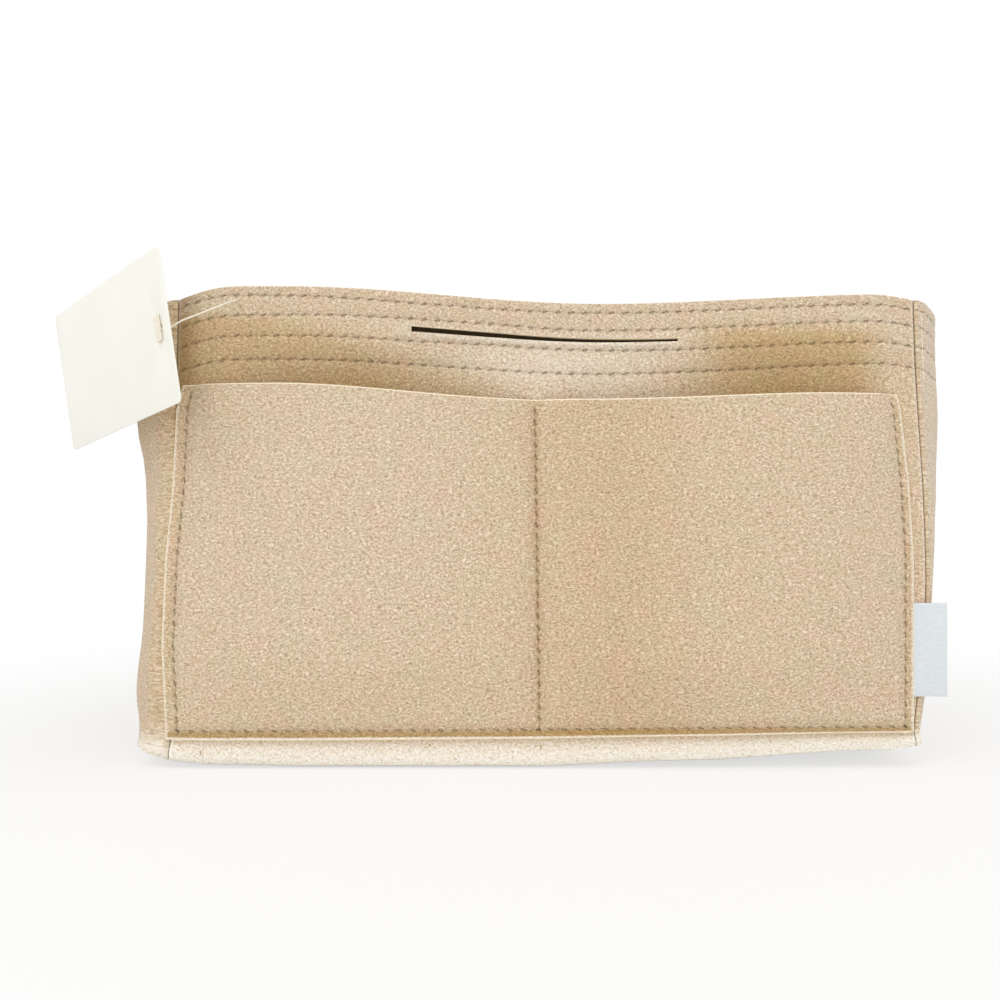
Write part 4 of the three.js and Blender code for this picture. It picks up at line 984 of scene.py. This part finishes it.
def panelSheet(p, side, wallY):
    # side is the way the panel faces along Y; wallY gives the y of the wall face it is sewn to
    outer = p is outerPocket
    left, right, bottomLine = p["left"], p["right"], p["bottomMargin"]
    lines = [left + p["leftMargin"], *p["seams"], right - p["rightMargin"]]
    count = int((lines[-1] - lines[0]) / p["pitch"])
    bottomHoles = [lines[0] + (lines[-1] - lines[0]) * k / count for k in range(count + 1)]
    columns = set(holeColumns(bottomHoles)) | {left, left + 0.8, left + 1.2, right - 1.2, right - 0.8, right}
    for line in lines:
        edgeSteps = (1.9,) if line in p["seams"] else ()
        clear = 2.4 if edgeSteps else 1.4
        columns = {c for c in columns if abs(c - line) >= clear}
        columns |= {line + step for step in (*acrossSteps, *edgeSteps, *(-s for s in edgeSteps))}
    x = np.array(sorted(columns))
    rises = int((p["height"] - 3.0 - bottomLine) / p["seamPitch"])
    upHoles = [bottomLine + p["seamPitch"] * k for k in range(rises + 1)]
    up = set(holeColumns(upHoles[1:])) | {0.0, 0.8, 1.2, p["height"] - 1.2, p["height"]}
    up = np.array(sorted(up | {bottomLine + step for step in acrossSteps}))
    atX, atUp = np.meshgrid(x, up)
    share = atUp / p["height"]
    place = atX
    if outer:
        bottom = p["bottom"] + p["bottomSlant"] * (atX - left) / (right - left)
        atZ = bottom + (outerMouth(atX) - bottom) * share
        place = place + (np.interp(atZ, p["edgeZ"], p["leftEdge"]) - left) * smooth((-atX - 30) / 111)
        place = place + (np.interp(atZ, p["edgeZ"], p["rightEdge"]) - right) * smooth((atX - 30) / 107)
        place = place + p["seamLean"] * (1 - 2 * share) * (1 - np.minimum(1, np.abs(atX) / 141))
    else:
        atZ = p["bottom"] + (p["mouthLow"] - p["bottom"]) * share
    fromSeams = np.minimum.reduce([np.abs(atX - line) for line in lines] + [np.abs(atUp - bottomLine)])
    inside = (atX > lines[0]) & (atX < lines[-1]) & (atUp > bottomLine)
    edges = [lines[0], *p["seams"], lines[-1]] if outer else [left, *p["seams"], right]
    stand = crownAt(p, edges, atX, share) + p["puff"] * smooth(fromSeams / p["puffRun"]) * inside
    dip, dark = seams([(atUp, atX - line, upHoles) for line in lines] + [(atX, atUp - bottomLine, bottomHoles)])
    wave = 0.35 * np.sin(place / 23 + atUp / 37 + side) * np.sin(atUp / 19 + 0.7) * smooth(fromSeams / 14)
    atY = wallY(place, atZ) + side * (cloth["clearance"] + cloth["pocketFelt"] + stand + wave - dip)
    points = settled(gridOf(place, atY, atZ), spread=False)
    # the margin outside the seams lies lower and gets painted shade, and painted shade runs beside each seam; its cut
    # edges get a painted highlight
    border = (atUp < bottomLine - 0.3) | (atX < lines[0] - 0.3) | (atX > lines[-1] + 0.3)
    atEdge = (atUp < 0.9) | (atX < left + 0.9) | (atX > right - 0.9)
    margin = (atUp < bottomLine - 0.3) & (atUp > 0.9)
    dark = np.maximum(dark, 0.14 * margin)
    paintedLightAndTint = 0.25 * hill(fromSeams, 1.1) * inside + 0.6 * margin + 0.2 * border
    paintedLightAndTint = np.where(atEdge, np.where(atUp < 0.9, -1.0, -0.5), paintedLightAndTint)
    if outer:
        # painted shade in a soft upright band right of the middle seam, faint painted light over the left half
        paintedLightAndTint = paintedLightAndTint + 0.27 * hill(atX - 24, 32) - 0.06 * hill(atX + 75, 60) * smooth((share - 0.1) * 3)
    bottomCells = [(np.searchsorted(up, bottomLine), np.searchsorted(x, h)) for h in bottomHoles]
    sewn = stitchesAlong(points, bottomCells, -side)
    for line in lines:
        cells = [(np.searchsorted(up, h), np.searchsorted(x, line)) for h in upHoles]
        sewn += stitchesAlong(points, cells, -side)
    return {"points": points, "flat": gridOf(place, atZ), "needle": dark, "paintedLightAndTint": paintedLightAndTint}, sewn


def frontFace(x, z):
    return -body["halfDepth"] + hollowAt(x, z) + waveAt(x, z)


def backFace(x, z):
    return body["halfDepth"] - waveAt(x, z)


for side, node in ((-1, "front_outer_pocket"), (1, "back_outer_pocket")):
    sheet = panelSheet(outerPocket, side, lambda x, z: side * body["halfDepth"] + 0 * x)
    sewnPiece(node, sheet, (0, side, 0), (279, 129), "outer_felt", thickness=cloth["pocketFelt"], edgeWidth=0.6)
print("outer pockets made")


# Facings behind the stitched rim, on the inside of each wall

facing = {"stitchGap": 0.1, "slotShift": 1.6, "endIn": 2.6, "holesIn": 6.0}
facingHalf = body["rimHalfWidth"] - cloth["felt"] - cloth["clearance"]
facingHoles = [h for h in wallHoles if abs(h) < facingHalf - 1.2]


def rimStitches(points, rows, columns, sign):
    return [s for k in range(1, 5) for s in stitchesAlong(points, [(lineRow(rows, k), c) for c in columns], sign)]


def wallFacing(side, rim, wallY):
    x = np.array(sorted(set(holeColumns(facingHoles)) | {-facingHalf, facingHalf}))
    rows = rimRows(side == -1) + [(0, 0, 0.0, body["facingDepth"])]
    drops = np.array([dropOf(row, x, side == -1) for row in rows])
    slotRows = [k for k, row in enumerate(rows) if row[0] == 5]
    # the facing's own slot lies a little lower, so nothing is seen through the two of them
    drops[slotRows] = drops[slotRows] + facing["slotShift"]
    drops = np.maximum.accumulate(drops + np.arange(len(rows))[:, None] * 1e-4, axis=0)
    atX = x * np.ones_like(drops)
    atZ = rim(atX) - drops
    dip, dark = seams([(atX, drops - rowDrop(k, atX * -side), facingHoles) for k in range(4)])
    atY = wallY(atX, atZ) - side * (2 * cloth["felt"] + facing["stitchGap"] - dip)
    points = settled(gridOf(atX, atY, atZ))
    sewn = rimStitches(points, rows, [np.searchsorted(x, h) for h in facingHoles], -side)
    return {"points": points, "flat": gridOf(atX, atZ), "needle": dark, "paintedLightAndTint": 0.1 * smooth((drops - 18) / 12),
            "gone": slotCells(x, slotRows[1]) if slotRows else None}, sewn


def sideFacing(side):
    inner = body["halfDepth"] - creaseIn
    holes = [h for h in sideHoles if abs(h) < inner - facing["holesIn"]]
    y = np.array(sorted(set(holeColumns(holes)) | {-inner + facing["endIn"], inner - facing["endIn"]}))
    rows = rimRows(False) + [(0, 0, 0.0, body["facingDepth"])]
    x0 = side * body["rimHalfWidth"]
    across = (y + inner) / (2 * inner)
    drops = np.array([dropOf(row, x0 + 0 * y, True) * (1 - across) + dropOf(row, x0 + 0 * y, False) * across
                      for row in rows])
    atY = y * np.ones_like(drops)
    atZ = sideRim(side, atY) - drops
    lines = [rowDrop(k, x0) * (1 - across) + rowDrop(k, -x0) * across for k in range(4)]
    dip, dark = seams([(atY, drops - line, holes) for line in lines])
    atX = gussetFaceX(side, atY, atZ) - side * (2 * cloth["felt"] + facing["stitchGap"] - dip)
    points = settled(gridOf(atX, atY, atZ))
    sewn = rimStitches(points, rows, [np.searchsorted(y, h) for h in holes], side)
    return {"points": points, "flat": gridOf(atY, atZ), "needle": dark}, sewn


for side, word, rim, wallY in ((-1, "front", frontRim, frontFace), (1, "back", backRim, backFace)):
    # each facing's side against the wall takes the near-black felt painted as the slot's shade
    sewnPiece(word + "_rim_facing", wallFacing(side, rim, wallY), (0, -side, 0), (271, 30),
              materials=(outerFelt, cutEdge, clouded["facing back painted in slot shade"]), hidden=2)
for side, word in ((-1, "left"), (1, "right")):
    sewnPiece(word + "_rim_facing", sideFacing(side), (-side, 0, 0), (144, 30), on=(word + "_gusset",))
print("facings made")

for side, node, wallY in ((1, "front_inner_pocket", frontFace), (-1, "back_inner_pocket", backFace)):
    sheet = panelSheet(innerPocket, side, lambda x, z: wallY(x, z) + side * cloth["felt"])
    sewnPiece(node, sheet, (0, side, 0), (258, 132), thickness=cloth["pocketFelt"])
print("inner pockets made")


# Divider: two panels that meet at the base and the ends and part at the zip

divider = {
    "left": -162.7, "right": 158.7, "mouth": 160.0, "turnZ": 8.3, "swell": 6.0, "endRun": 30.0, "mouthRun": 25.0,
    "baseRun": 30.0, "tapeZone": 158.3, "seamDrop": 3.2, "hemDrop": 7.4, "endMargin": 4.0, "baseSeam": 14.0,
    "pitch": 5.0, "upHoles": 26, "levels": (2.5, 5.5, 8.3, 8.35, 11.0, 146.0, 149.0),
}


def dividerEnd(side, z):
    thick = cloth["felt"] + cloth["clearance"]
    onGusset = gussetFaceX(side, 0 * z, z) - side * 2 * thick
    return np.where(z <= divider["turnZ"], side * (halfWidthAt(z) - thick), onGusset)


def dividerSheet(side):
    d = divider
    span = d["right"] - d["left"] - 2 * d["endMargin"]
    count = int(span / d["pitch"])
    holes = [d["left"] + d["endMargin"] + span * k / count for k in range(count + 1)]
    x = np.array(sorted(set(holeColumns(holes)) | {d["left"], d["left"] + 1.2, d["right"] - 1.2, d["right"]}))
    upHoles = [d["baseSeam"] + d["pitch"] * k for k in range(d["upHoles"])]
    lines = [d["mouth"] - d["seamDrop"], d["mouth"] - d["hemDrop"]]
    z = set(holeColumns(upHoles)) | {*d["levels"], d["mouth"] - 1.2, d["mouth"]}
    z = np.array(sorted(z | {line + step for line in lines for step in acrossSteps}))
    atX, atZ = np.meshgrid(x, z)
    ends = dividerEnd(-1, atZ), dividerEnd(1, atZ)
    place = ends[0] + (ends[1] - ends[0]) * (atX - d["left"]) / (d["right"] - d["left"])
    fromEnd = smooth(np.minimum(place - ends[0], ends[1] - place) / d["endRun"])
    nearMouth = smooth((atZ - d["tapeZone"] + d["mouthRun"]) / d["mouthRun"])
    swell = d["swell"] * (1 - (1 - fromEnd) * (1 - nearMouth)) * smooth((atZ - d["levels"][0]) / d["baseRun"])
    dip, dark = seams([(atX, atZ - line, holes) for line in lines]
                      + [(atZ, atX - line, upHoles) for line in (holes[0], holes[-1])])
    wave = 0.5 * np.sin(place / 29 + atZ / 41) * np.sin(atZ / 25) * fromEnd
    wave = wave * smooth((150 - atZ) / 30) * smooth(atZ / 40)
    atY = side * (cloth["clearance"] / 2 + swell + cloth["pocketFelt"] + np.minimum(wave, 0) - dip)
    points = gridOf(place, atY, atZ)
    sewn = []
    for line in lines:
        sewn += stitchesAlong(points, [(np.searchsorted(z, line), np.searchsorted(x, h)) for h in holes], -side)
    for line in (holes[0], holes[-1]):
        sewn += stitchesAlong(points, [(np.searchsorted(z, h), np.searchsorted(x, line)) for h in upHoles], -side)
    return {"points": points, "flat": gridOf(place, atZ), "needle": dark}, sewn


for side, node in ((-1, "divider_front_panel"), (1, "divider_back_panel")):
    sewnPiece(node, dividerSheet(side), (0, side, 0), (322, 159), on=("left_gusset", "right_gusset"),
              thickness=cloth["pocketFelt"])
print("divider made")


# Zip: woven tapes, coils of nylon turns, stops, slider and pull

zipShape = {
    "tapeDark": "A88C67", "tapeLight": "C9AE86", "weave": 0.7, "zigzag": 0.95,
    "tapeLeft": -162.406, "tapeRight": 158.406, "tapeTop": 159.2, "tapeThickness": 0.6,
    "tapeAcross": (0.15, 0.5, 1.4, 2.4, 3.4, 4.4, 5.3, 5.85), "tapeSag": 0.18, "sagRun": 17.0,
    "coilLeft": -131.806, "coilRight": 127.806, "coilMiddle": 1.19, "coilReach": 0.71, "coilZ": 160.4,
    "coilHeight": 0.5643, "wire": 0.33, "pitch": 1.35, "lean": 0.32,
}


def wovenTapeMaterial():
    # woven polyester tape: a fine herringbone of matt ribs, a little shinier than felt; the ribs are drawn
    # coarser than real, so that they show
    material, tree = newMaterial("woven polyester zip tape")
    place = addNode(tree, "ShaderNodeTexCoord").outputs["Object"]
    parts = addNode(tree, "ShaderNodeSeparateXYZ", links={0: place})
    away = addNode(tree, "ShaderNodeMath", {"operation": "ABSOLUTE"}, links={0: parts.outputs["Y"]})
    zigzag = addNode(tree, "ShaderNodeMath", {"operation": "PINGPONG"}, {1: zipShape["zigzag"] * mm},
                     {0: away.outputs[0]})
    slanted = addNode(tree, "ShaderNodeMath", {"operation": "ADD"}, links={0: parts.outputs["X"], 1: zigzag.outputs[0]})
    wave = addNode(tree, "ShaderNodeMath", {"operation": "MULTIPLY"}, {1: 2 * math.pi / (zipShape["weave"] * mm)},
                   {0: slanted.outputs[0]})
    rib = addNode(tree, "ShaderNodeMath", {"operation": "SINE"}, links={0: wave.outputs[0]})
    height = addNode(tree, "ShaderNodeMapRange", inputs={"From Min": -1.0, "From Max": 1.0},
                     links={"Value": rib.outputs[0]})
    color = addNode(tree, "ShaderNodeMix", {"data_type": "RGBA"},
                    {6: linearColor(zipShape["tapeDark"]), 7: linearColor(zipShape["tapeLight"])},
                    {0: height.outputs[0]})
    bump = addNode(tree, "ShaderNodeBump", inputs={"Strength": 0.7, "Distance": 0.12 * mm},
                   links={"Height": height.outputs[0]})
    shader = addNode(tree, "ShaderNodeBsdfPrincipled",
                     inputs={"Roughness": 0.7, "Specular IOR Level": 0.35, "Sheen Weight": 0.15},
                     links={"Base Color": color.outputs[2], "Normal": bump.outputs["Normal"]})
    addNode(tree, "ShaderNodeOutputMaterial", links={"Surface": shader.outputs[0]})
    return material


def alloyMaterial():
    # die-cast zinc alloy with bright nickel plating: mirror-like with fine rub marks and duller spots
    material, tree = newMaterial("nickel-plated zinc alloy")
    place = addNode(tree, "ShaderNodeTexCoord").outputs["Object"]
    rub = addNode(tree, "ShaderNodeTexNoise", inputs={"Scale": 1 / (0.9 * mm), "Detail": 5.0, "Roughness": 0.65},
                  links={"Vector": place})
    blotch = addNode(tree, "ShaderNodeTexNoise", inputs={"Scale": 1 / (5 * mm), "Detail": 2.0}, links={"Vector": place})
    both = addNode(tree, "ShaderNodeMath", {"operation": "MULTIPLY"},
                   links={0: rub.outputs["Fac"], 1: blotch.outputs["Fac"]})
    gloss = addNode(tree, "ShaderNodeMapRange", inputs={"From Max": 0.5, "To Min": 0.16, "To Max": 0.36},
                    links={"Value": both.outputs[0]})
    color = addNode(tree, "ShaderNodeMix", {"data_type": "RGBA"},
                    {6: linearColor("B9B5AC"), 7: linearColor("D6D3CC")}, {0: blotch.outputs["Fac"]})
    bump = addNode(tree, "ShaderNodeBump", inputs={"Strength": 0.15, "Distance": 0.03 * mm},
                   links={"Height": rub.outputs["Fac"]})
    shader = addNode(tree, "ShaderNodeBsdfPrincipled", inputs={"Metallic": 1.0},
                     links={"Base Color": color.outputs[2], "Roughness": gloss.outputs[0],
                            "Normal": bump.outputs["Normal"]})
    addNode(tree, "ShaderNodeOutputMaterial", links={"Surface": shader.outputs[0]})
    return material


tapeCloth, alloy = wovenTapeMaterial(), alloyMaterial()


def zipTape(word, side):
    z = zipShape
    x = np.linspace(z["tapeLeft"], z["tapeRight"], 161)
    y = np.array(z["tapeAcross"])[:, None] * side
    sag = z["tapeSag"] * np.abs(np.sin(x / z["sagRun"])) * smooth((np.abs(y) - 2.6) / 3)
    tape = clothGrid("woven_zip_tape_" + word, gridOf(x, y, z["tapeTop"] - sag), gridOf(x, y))
    sewnSheet(tape, z["tapeThickness"], (0, 0, 1), (tapeCloth, tapeCloth), edgeWidth=0.15)
    ownedBy(tape, "insert", "zip_tape_" + word)


def zipCoil(word, side):
    # one turn of the coil is a flattened ring; the turns of the two sides alternate
    z = zipShape
    bpy.ops.object.select_all(action="DESELECT")
    bpy.ops.mesh.primitive_torus_add(major_segments=10, minor_segments=5, major_radius=1.0, minor_radius=z["wire"],
                                     rotation=(0, math.pi / 2, 0))
    ring = bpy.context.object
    bpy.ops.object.transform_apply(location=True, rotation=True, scale=True)
    ring.name = ring.data.name = "nylon_coil_" + word
    base = pointsOf(ring.data)
    middle = base[:, 1:] / np.hypot(base[:, 1], base[:, 2])[:, None]
    tube = base[:, 1:] - middle
    flatY = z["coilReach"] * middle[:, 0] + tube[:, 0]
    flatZ = z["coilHeight"] * middle[:, 1] + tube[:, 1]
    shift = 0.5 if side > 0 else 0.0
    count = int((z["coilRight"] - z["coilLeft"]) / z["pitch"])
    turns = [z["coilLeft"] + z["pitch"] * (k + shift) for k in range(count)]
    ring.data.materials.append(clouded["heat-set nylon coil"])
    joinCopies(ring, [gridOf(x + base[:, 0] + z["lean"] * flatZ, side * z["coilMiddle"] + flatY, z["coilZ"] + flatZ)
                      for x in turns])
    ownedBy(ring, "insert", "zip_coil_" + word)


def roundedCopy(node, width, bodyName, material=alloy):
    # a worn casting or moulding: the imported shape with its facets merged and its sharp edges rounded
    piece = bpy.data.objects[node].copy()
    piece.data = piece.data.copy()
    bpy.context.collection.objects.link(piece)
    piece.name = piece.data.name = "cast_" + node
    piece.data.materials.clear()
    selectOnly([piece])
    bpy.ops.object.mode_set(mode="EDIT")
    bpy.ops.mesh.select_all(action="SELECT")
    bpy.ops.mesh.remove_doubles(threshold=0.004 * mm)
    bpy.ops.mesh.dissolve_limited(angle_limit=math.radians(4))
    bpy.ops.object.mode_set(mode="OBJECT")
    bevel = piece.modifiers.new("rounded edges", "BEVEL")
    bevel.width = width * mm
    bevel.segments = 3
    bevel.limit_method = "ANGLE"
    bevel.angle_limit = math.radians(28)
    bevel.use_clamp_overlap = True
    applyAll(piece)
    bpy.ops.object.shade_smooth_by_angle(angle=math.radians(40))
    piece.data.materials.append(material)
    ownedBy(piece, bodyName, node)


for word, side in (("front", -1), ("back", 1)):
    zipTape(word, side)
    zipCoil(word, side)
for node, width, bodyName in (("zip_stop_left", 0.25, "insert"), ("zip_stop_right", 0.25, "insert"),
                              ("zip_slider", 0.3, "zip_slider"), ("zip_pull", 0.25, "zip_pull"),
                              ("clasp_hook", 0.2, "clasp_hook"), ("clasp_gate", 0.15, "clasp_gate")):
    roundedCopy(node, width, bodyName)
print("zip and clasp made")


# Key strap: a strip of felt that turns back round the clasp's eye

keyStrap = {
    "near": -24.0, "far": -12.0, "thickness": 1.6, "faceX": -161.004, "top": 164.996, "loopX": -156.504,
    "loopZ": 120.996, "loopMiddle": 2.5, "tail": 14.0, "tailGap": 0.25, "margin": 1.7, "pitch": 2.6,
    "topRows": (2.0, 6.5), "topMargin": 1.2, "proud": 0.02,
}


def strapPath():
    # the strip's middle line in X and Z, from the rim down, round the eye and back up
    k = keyStrap
    x0 = k["faceX"] + k["thickness"] / 2
    path = [(x0, z) for z in np.linspace(k["top"], k["loopZ"] + 6, 18)]
    path += [(x0 + 0.35 * t, k["loopZ"] + 6 - 4.2 * t) for t in (0.35, 0.7)]
    path += [(k["loopX"] + k["loopMiddle"] * math.cos(a), k["loopZ"] + k["loopMiddle"] * math.sin(a))
             for a in np.radians(np.linspace(165, 385, 14))]
    tailX = x0 + k["thickness"] + k["tailGap"]
    path += [(tailX + 0.9, k["loopZ"] + 4.6), (tailX + 0.2, k["loopZ"] + 7.0)]
    path += [(tailX, z) for z in np.linspace(k["loopZ"] + 8.5, k["loopZ"] + 6 + k["tail"], 6)]
    return np.array(path)


def strapStitches():
    # a box of stitches where the tail is sewn back, and two rows that hold the strap to the rim
    k = keyStrap
    near, far = k["near"] + k["margin"], k["far"] - k["margin"]
    low, high = k["loopZ"] + 8.6, k["loopZ"] + 6 + k["tail"] - 1.6
    box = [(near, low), (far, low), (far, high), (near, high), (near, low)]
    tailX = k["faceX"] + 2 * k["thickness"] + k["tailGap"] + k["proud"]
    lines = [(tailX, a, b, max(2, round(math.dist(a, b) / k["pitch"]))) for a, b in zip(box, box[1:])]
    for drop in k["topRows"]:
        ends = [(y, k["top"] - drop) for y in (k["near"] + k["topMargin"], k["far"] - k["topMargin"])]
        lines.append((k["faceX"] + k["thickness"] + k["proud"], *ends, 4))
    sewn = []
    for x, (y0, z0), (y1, z1), steps in lines:
        marks = [np.array((x, y0 + (y1 - y0) * s / steps, z0 + (z1 - z0) * s / steps)) for s in range(steps + 1)]
        sewn += [(a, b, np.array((1.0, 0, 0))) for a, b in zip(marks, marks[1:])]
    return sewn


def keyStrapSheet():
    k = keyStrap
    path = strapPath()
    y = np.linspace(k["near"], k["far"], 13)
    run = np.concatenate([[0], np.cumsum(np.hypot(*np.diff(path, axis=0).T))])
    strap = clothGrid("felt_key_strap", gridOf(path[:, :1], y, path[:, 1:]), gridOf(y, run[:, None]), paintedLightAndTint=0.05)
    for material in (outerFelt, cutEdge):
        strap.data.materials.append(material)
    solidify = strap.modifiers.new("felt thickness", "SOLIDIFY")
    solidify.thickness = k["thickness"] * mm
    solidify.offset = 0
    solidify.material_offset_rim = 1
    bevel = strap.modifiers.new("worn cut edge", "BEVEL")
    bevel.width = 0.3 * mm
    bevel.segments = 2
    bevel.limit_method = "ANGLE"
    bevel.angle_limit = math.radians(60)
    applyAll(strap)
    bpy.ops.object.shade_smooth_by_angle(angle=math.radians(50))
    ownedBy(strap, "key_strap", "key_strap")
    thread = sewThread("thread_key_strap", strapStitches(), "key_strap", lift=0.25)


keyStrapSheet()
print("key strap made")


# Side label: a satin ribbon folded once, its cut ends tucked behind the pocket's edge

label = {
    "dark": "C2CBD3", "light": "EDF1F4", "yarn": 0.22, "left": 131.0, "fold": 150.4, "low": 26.6, "high": 61.5,
    "front": -71.02, "back": -70.42, "ply": 0.16, "freeFrom": 140.0, "freeRun": 10.0, "sway": 0.55, "lean": 0.25,
    "corner": 0.5,
}


def satinMaterial():
    # polyester satin ribbon: floats of bright yarn along its length, so a silky, streaked sheen; the yarns are
    # drawn coarser than real
    material, tree = newMaterial("polyester satin ribbon")
    place = addNode(tree, "ShaderNodeUVMap", {"uv_map": "cloth"}).outputs["UV"]
    yarns = addNode(tree, "ShaderNodeMapping", inputs={"Scale": (0.06, 1.0, 1.0)}, links={"Vector": place})
    yarn = addNode(tree, "ShaderNodeTexNoise", inputs={"Scale": 1 / (label["yarn"] * mm), "Detail": 2.0},
                   links={"Vector": yarns.outputs[0]})
    color = addNode(tree, "ShaderNodeMix", {"data_type": "RGBA"},
                    {6: linearColor(label["dark"]), 7: linearColor(label["light"])}, {0: yarn.outputs["Fac"]})
    bump = addNode(tree, "ShaderNodeBump", inputs={"Strength": 0.5, "Distance": 0.05 * mm},
                   links={"Height": yarn.outputs["Fac"]})
    shader = addNode(tree, "ShaderNodeBsdfPrincipled",
                     inputs={"Roughness": 0.42, "Specular IOR Level": 0.5, "Anisotropic": 0.5, "Sheen Weight": 0.3},
                     links={"Base Color": color.outputs[2], "Normal": bump.outputs["Normal"]})
    addNode(tree, "ShaderNodeOutputMaterial", links={"Surface": shader.outputs[0]})
    return material


def sideLabel():
    s = label
    half, middle = (s["back"] - s["front"]) / 2, (s["front"] + s["back"]) / 2
    plies = np.linspace(s["left"], s["fold"] - half, 14)
    turn = [(s["fold"] - half + half * math.sin(a), middle - half * math.cos(a))
            for a in np.radians(np.linspace(0, 180, 9))[1:-1]]
    path = np.array([(x, s["front"]) for x in plies] + turn + [(x, s["back"]) for x in plies[::-1]])
    z = np.linspace(s["low"], s["high"], 25)[:, None]
    free = smooth((path[:, 0] - s["freeFrom"]) / s["freeRun"])
    sway = -free * (s["sway"] * np.sin((z - s["low"]) / 35 * math.pi) + s["lean"])
    corner = s["corner"] * free * hill(z - s["high"], 7)
    run = np.concatenate([[0], np.cumsum(np.hypot(*np.diff(path, axis=0).T))])
    points = gridOf(path[:, 0] + s["lean"] * free * np.sin(z / 9), path[:, 1] + sway + corner, z)
    ribbon = clothGrid("satin_side_label", points, gridOf(run, z))
    satin = satinMaterial()
    sewnSheet(ribbon, s["ply"], lambda places: (places - (0, middle * mm, 0)) * (0, 1, 0), (satin, satin),
              edgeWidth=0.05)
    ownedBy(ribbon, "insert", "side_label")


sideLabel()
print("side label made")


# Swing tag: a bare coated card, and the nylon pin that holds it

tag = {
    "width": 90.0, "height": 55.0, "thickness": 0.5, "corner": 2.0, "inset": 7.0, "hole": 2.0, "edge": 0.08,
    "curl": 0.5, "curlFrom": 8.0, "curlRun": 75.0, "cutEvery": 5.0, "cuts": 15,
    "place": (-134.8, -98.1, 159.598), "turn": (4.4, -8.7, -45.1),
}
cardTurn = Euler([math.radians(a) for a in tag["turn"]], "XYZ").to_matrix().to_4x4()
cardPlace = Matrix.Translation(Vector(tag["place"]) * mm) @ cardTurn


def tagCard():
    t = tag
    bpy.ops.object.select_all(action="DESELECT")
    middle = (t["inset"] - t["width"] / 2) * mm
    bpy.ops.mesh.primitive_plane_add(size=1, location=(middle, 0, 0), rotation=(math.pi / 2, 0, 0))
    card = bpy.context.object
    card.name = card.data.name = "coated_tag_card"
    card.scale = (t["width"] * mm, t["height"] * mm, 1)
    bpy.ops.object.transform_apply(location=True, rotation=True, scale=True)
    bpy.ops.object.mode_set(mode="EDIT")
    bpy.ops.mesh.select_all(action="SELECT")
    bpy.ops.mesh.bevel(offset=t["corner"] * mm, segments=6, affect="VERTICES")
    for k in range(1, t["cuts"] + 1):
        bpy.ops.mesh.select_all(action="SELECT")
        bpy.ops.mesh.bisect(plane_co=((t["inset"] - t["width"] + t["cutEvery"] * k) * mm, 0, 0), plane_no=(1, 0, 0))
    bpy.ops.object.mode_set(mode="OBJECT")
    solidify = card.modifiers.new("card thickness", "SOLIDIFY")
    solidify.thickness = t["thickness"] * mm
    solidify.offset = 0
    applyAll(card)
    bpy.ops.object.select_all(action="DESELECT")
    bpy.ops.mesh.primitive_cylinder_add(vertices=32, radius=t["hole"] * mm, depth=8 * mm, rotation=(math.pi / 2, 0, 0))
    punch = bpy.context.object
    cut = card.modifiers.new("punched hole", "BOOLEAN")
    cut.object = punch
    cut.operation = "DIFFERENCE"
    applyAll(card)
    bpy.data.objects.remove(punch)
    bevel = card.modifiers.new("soft cut edge", "BEVEL")
    bevel.width = t["edge"] * mm
    bevel.segments = 2
    bevel.limit_method = "ANGLE"
    bevel.angle_limit = math.radians(50)
    applyAll(card)
    points = pointsOf(card.data) / mm
    points[:, 1] += t["curl"] * np.clip((-points[:, 0] - t["curlFrom"]) / t["curlRun"], 0, 1) ** 2
    setPoints(card.data, points)
    card.data.transform(cardPlace)
    bpy.ops.object.shade_smooth_by_angle(angle=math.radians(35))
    card.data.materials.append(clouded["coated ivory card"])
    ownedBy(card, "tag_card", "tag_card")


tagCard()
roundedCopy("tag_pin", 0.12, "tag_pin", clouded["clear moulded nylon"])
print("swing tag made")
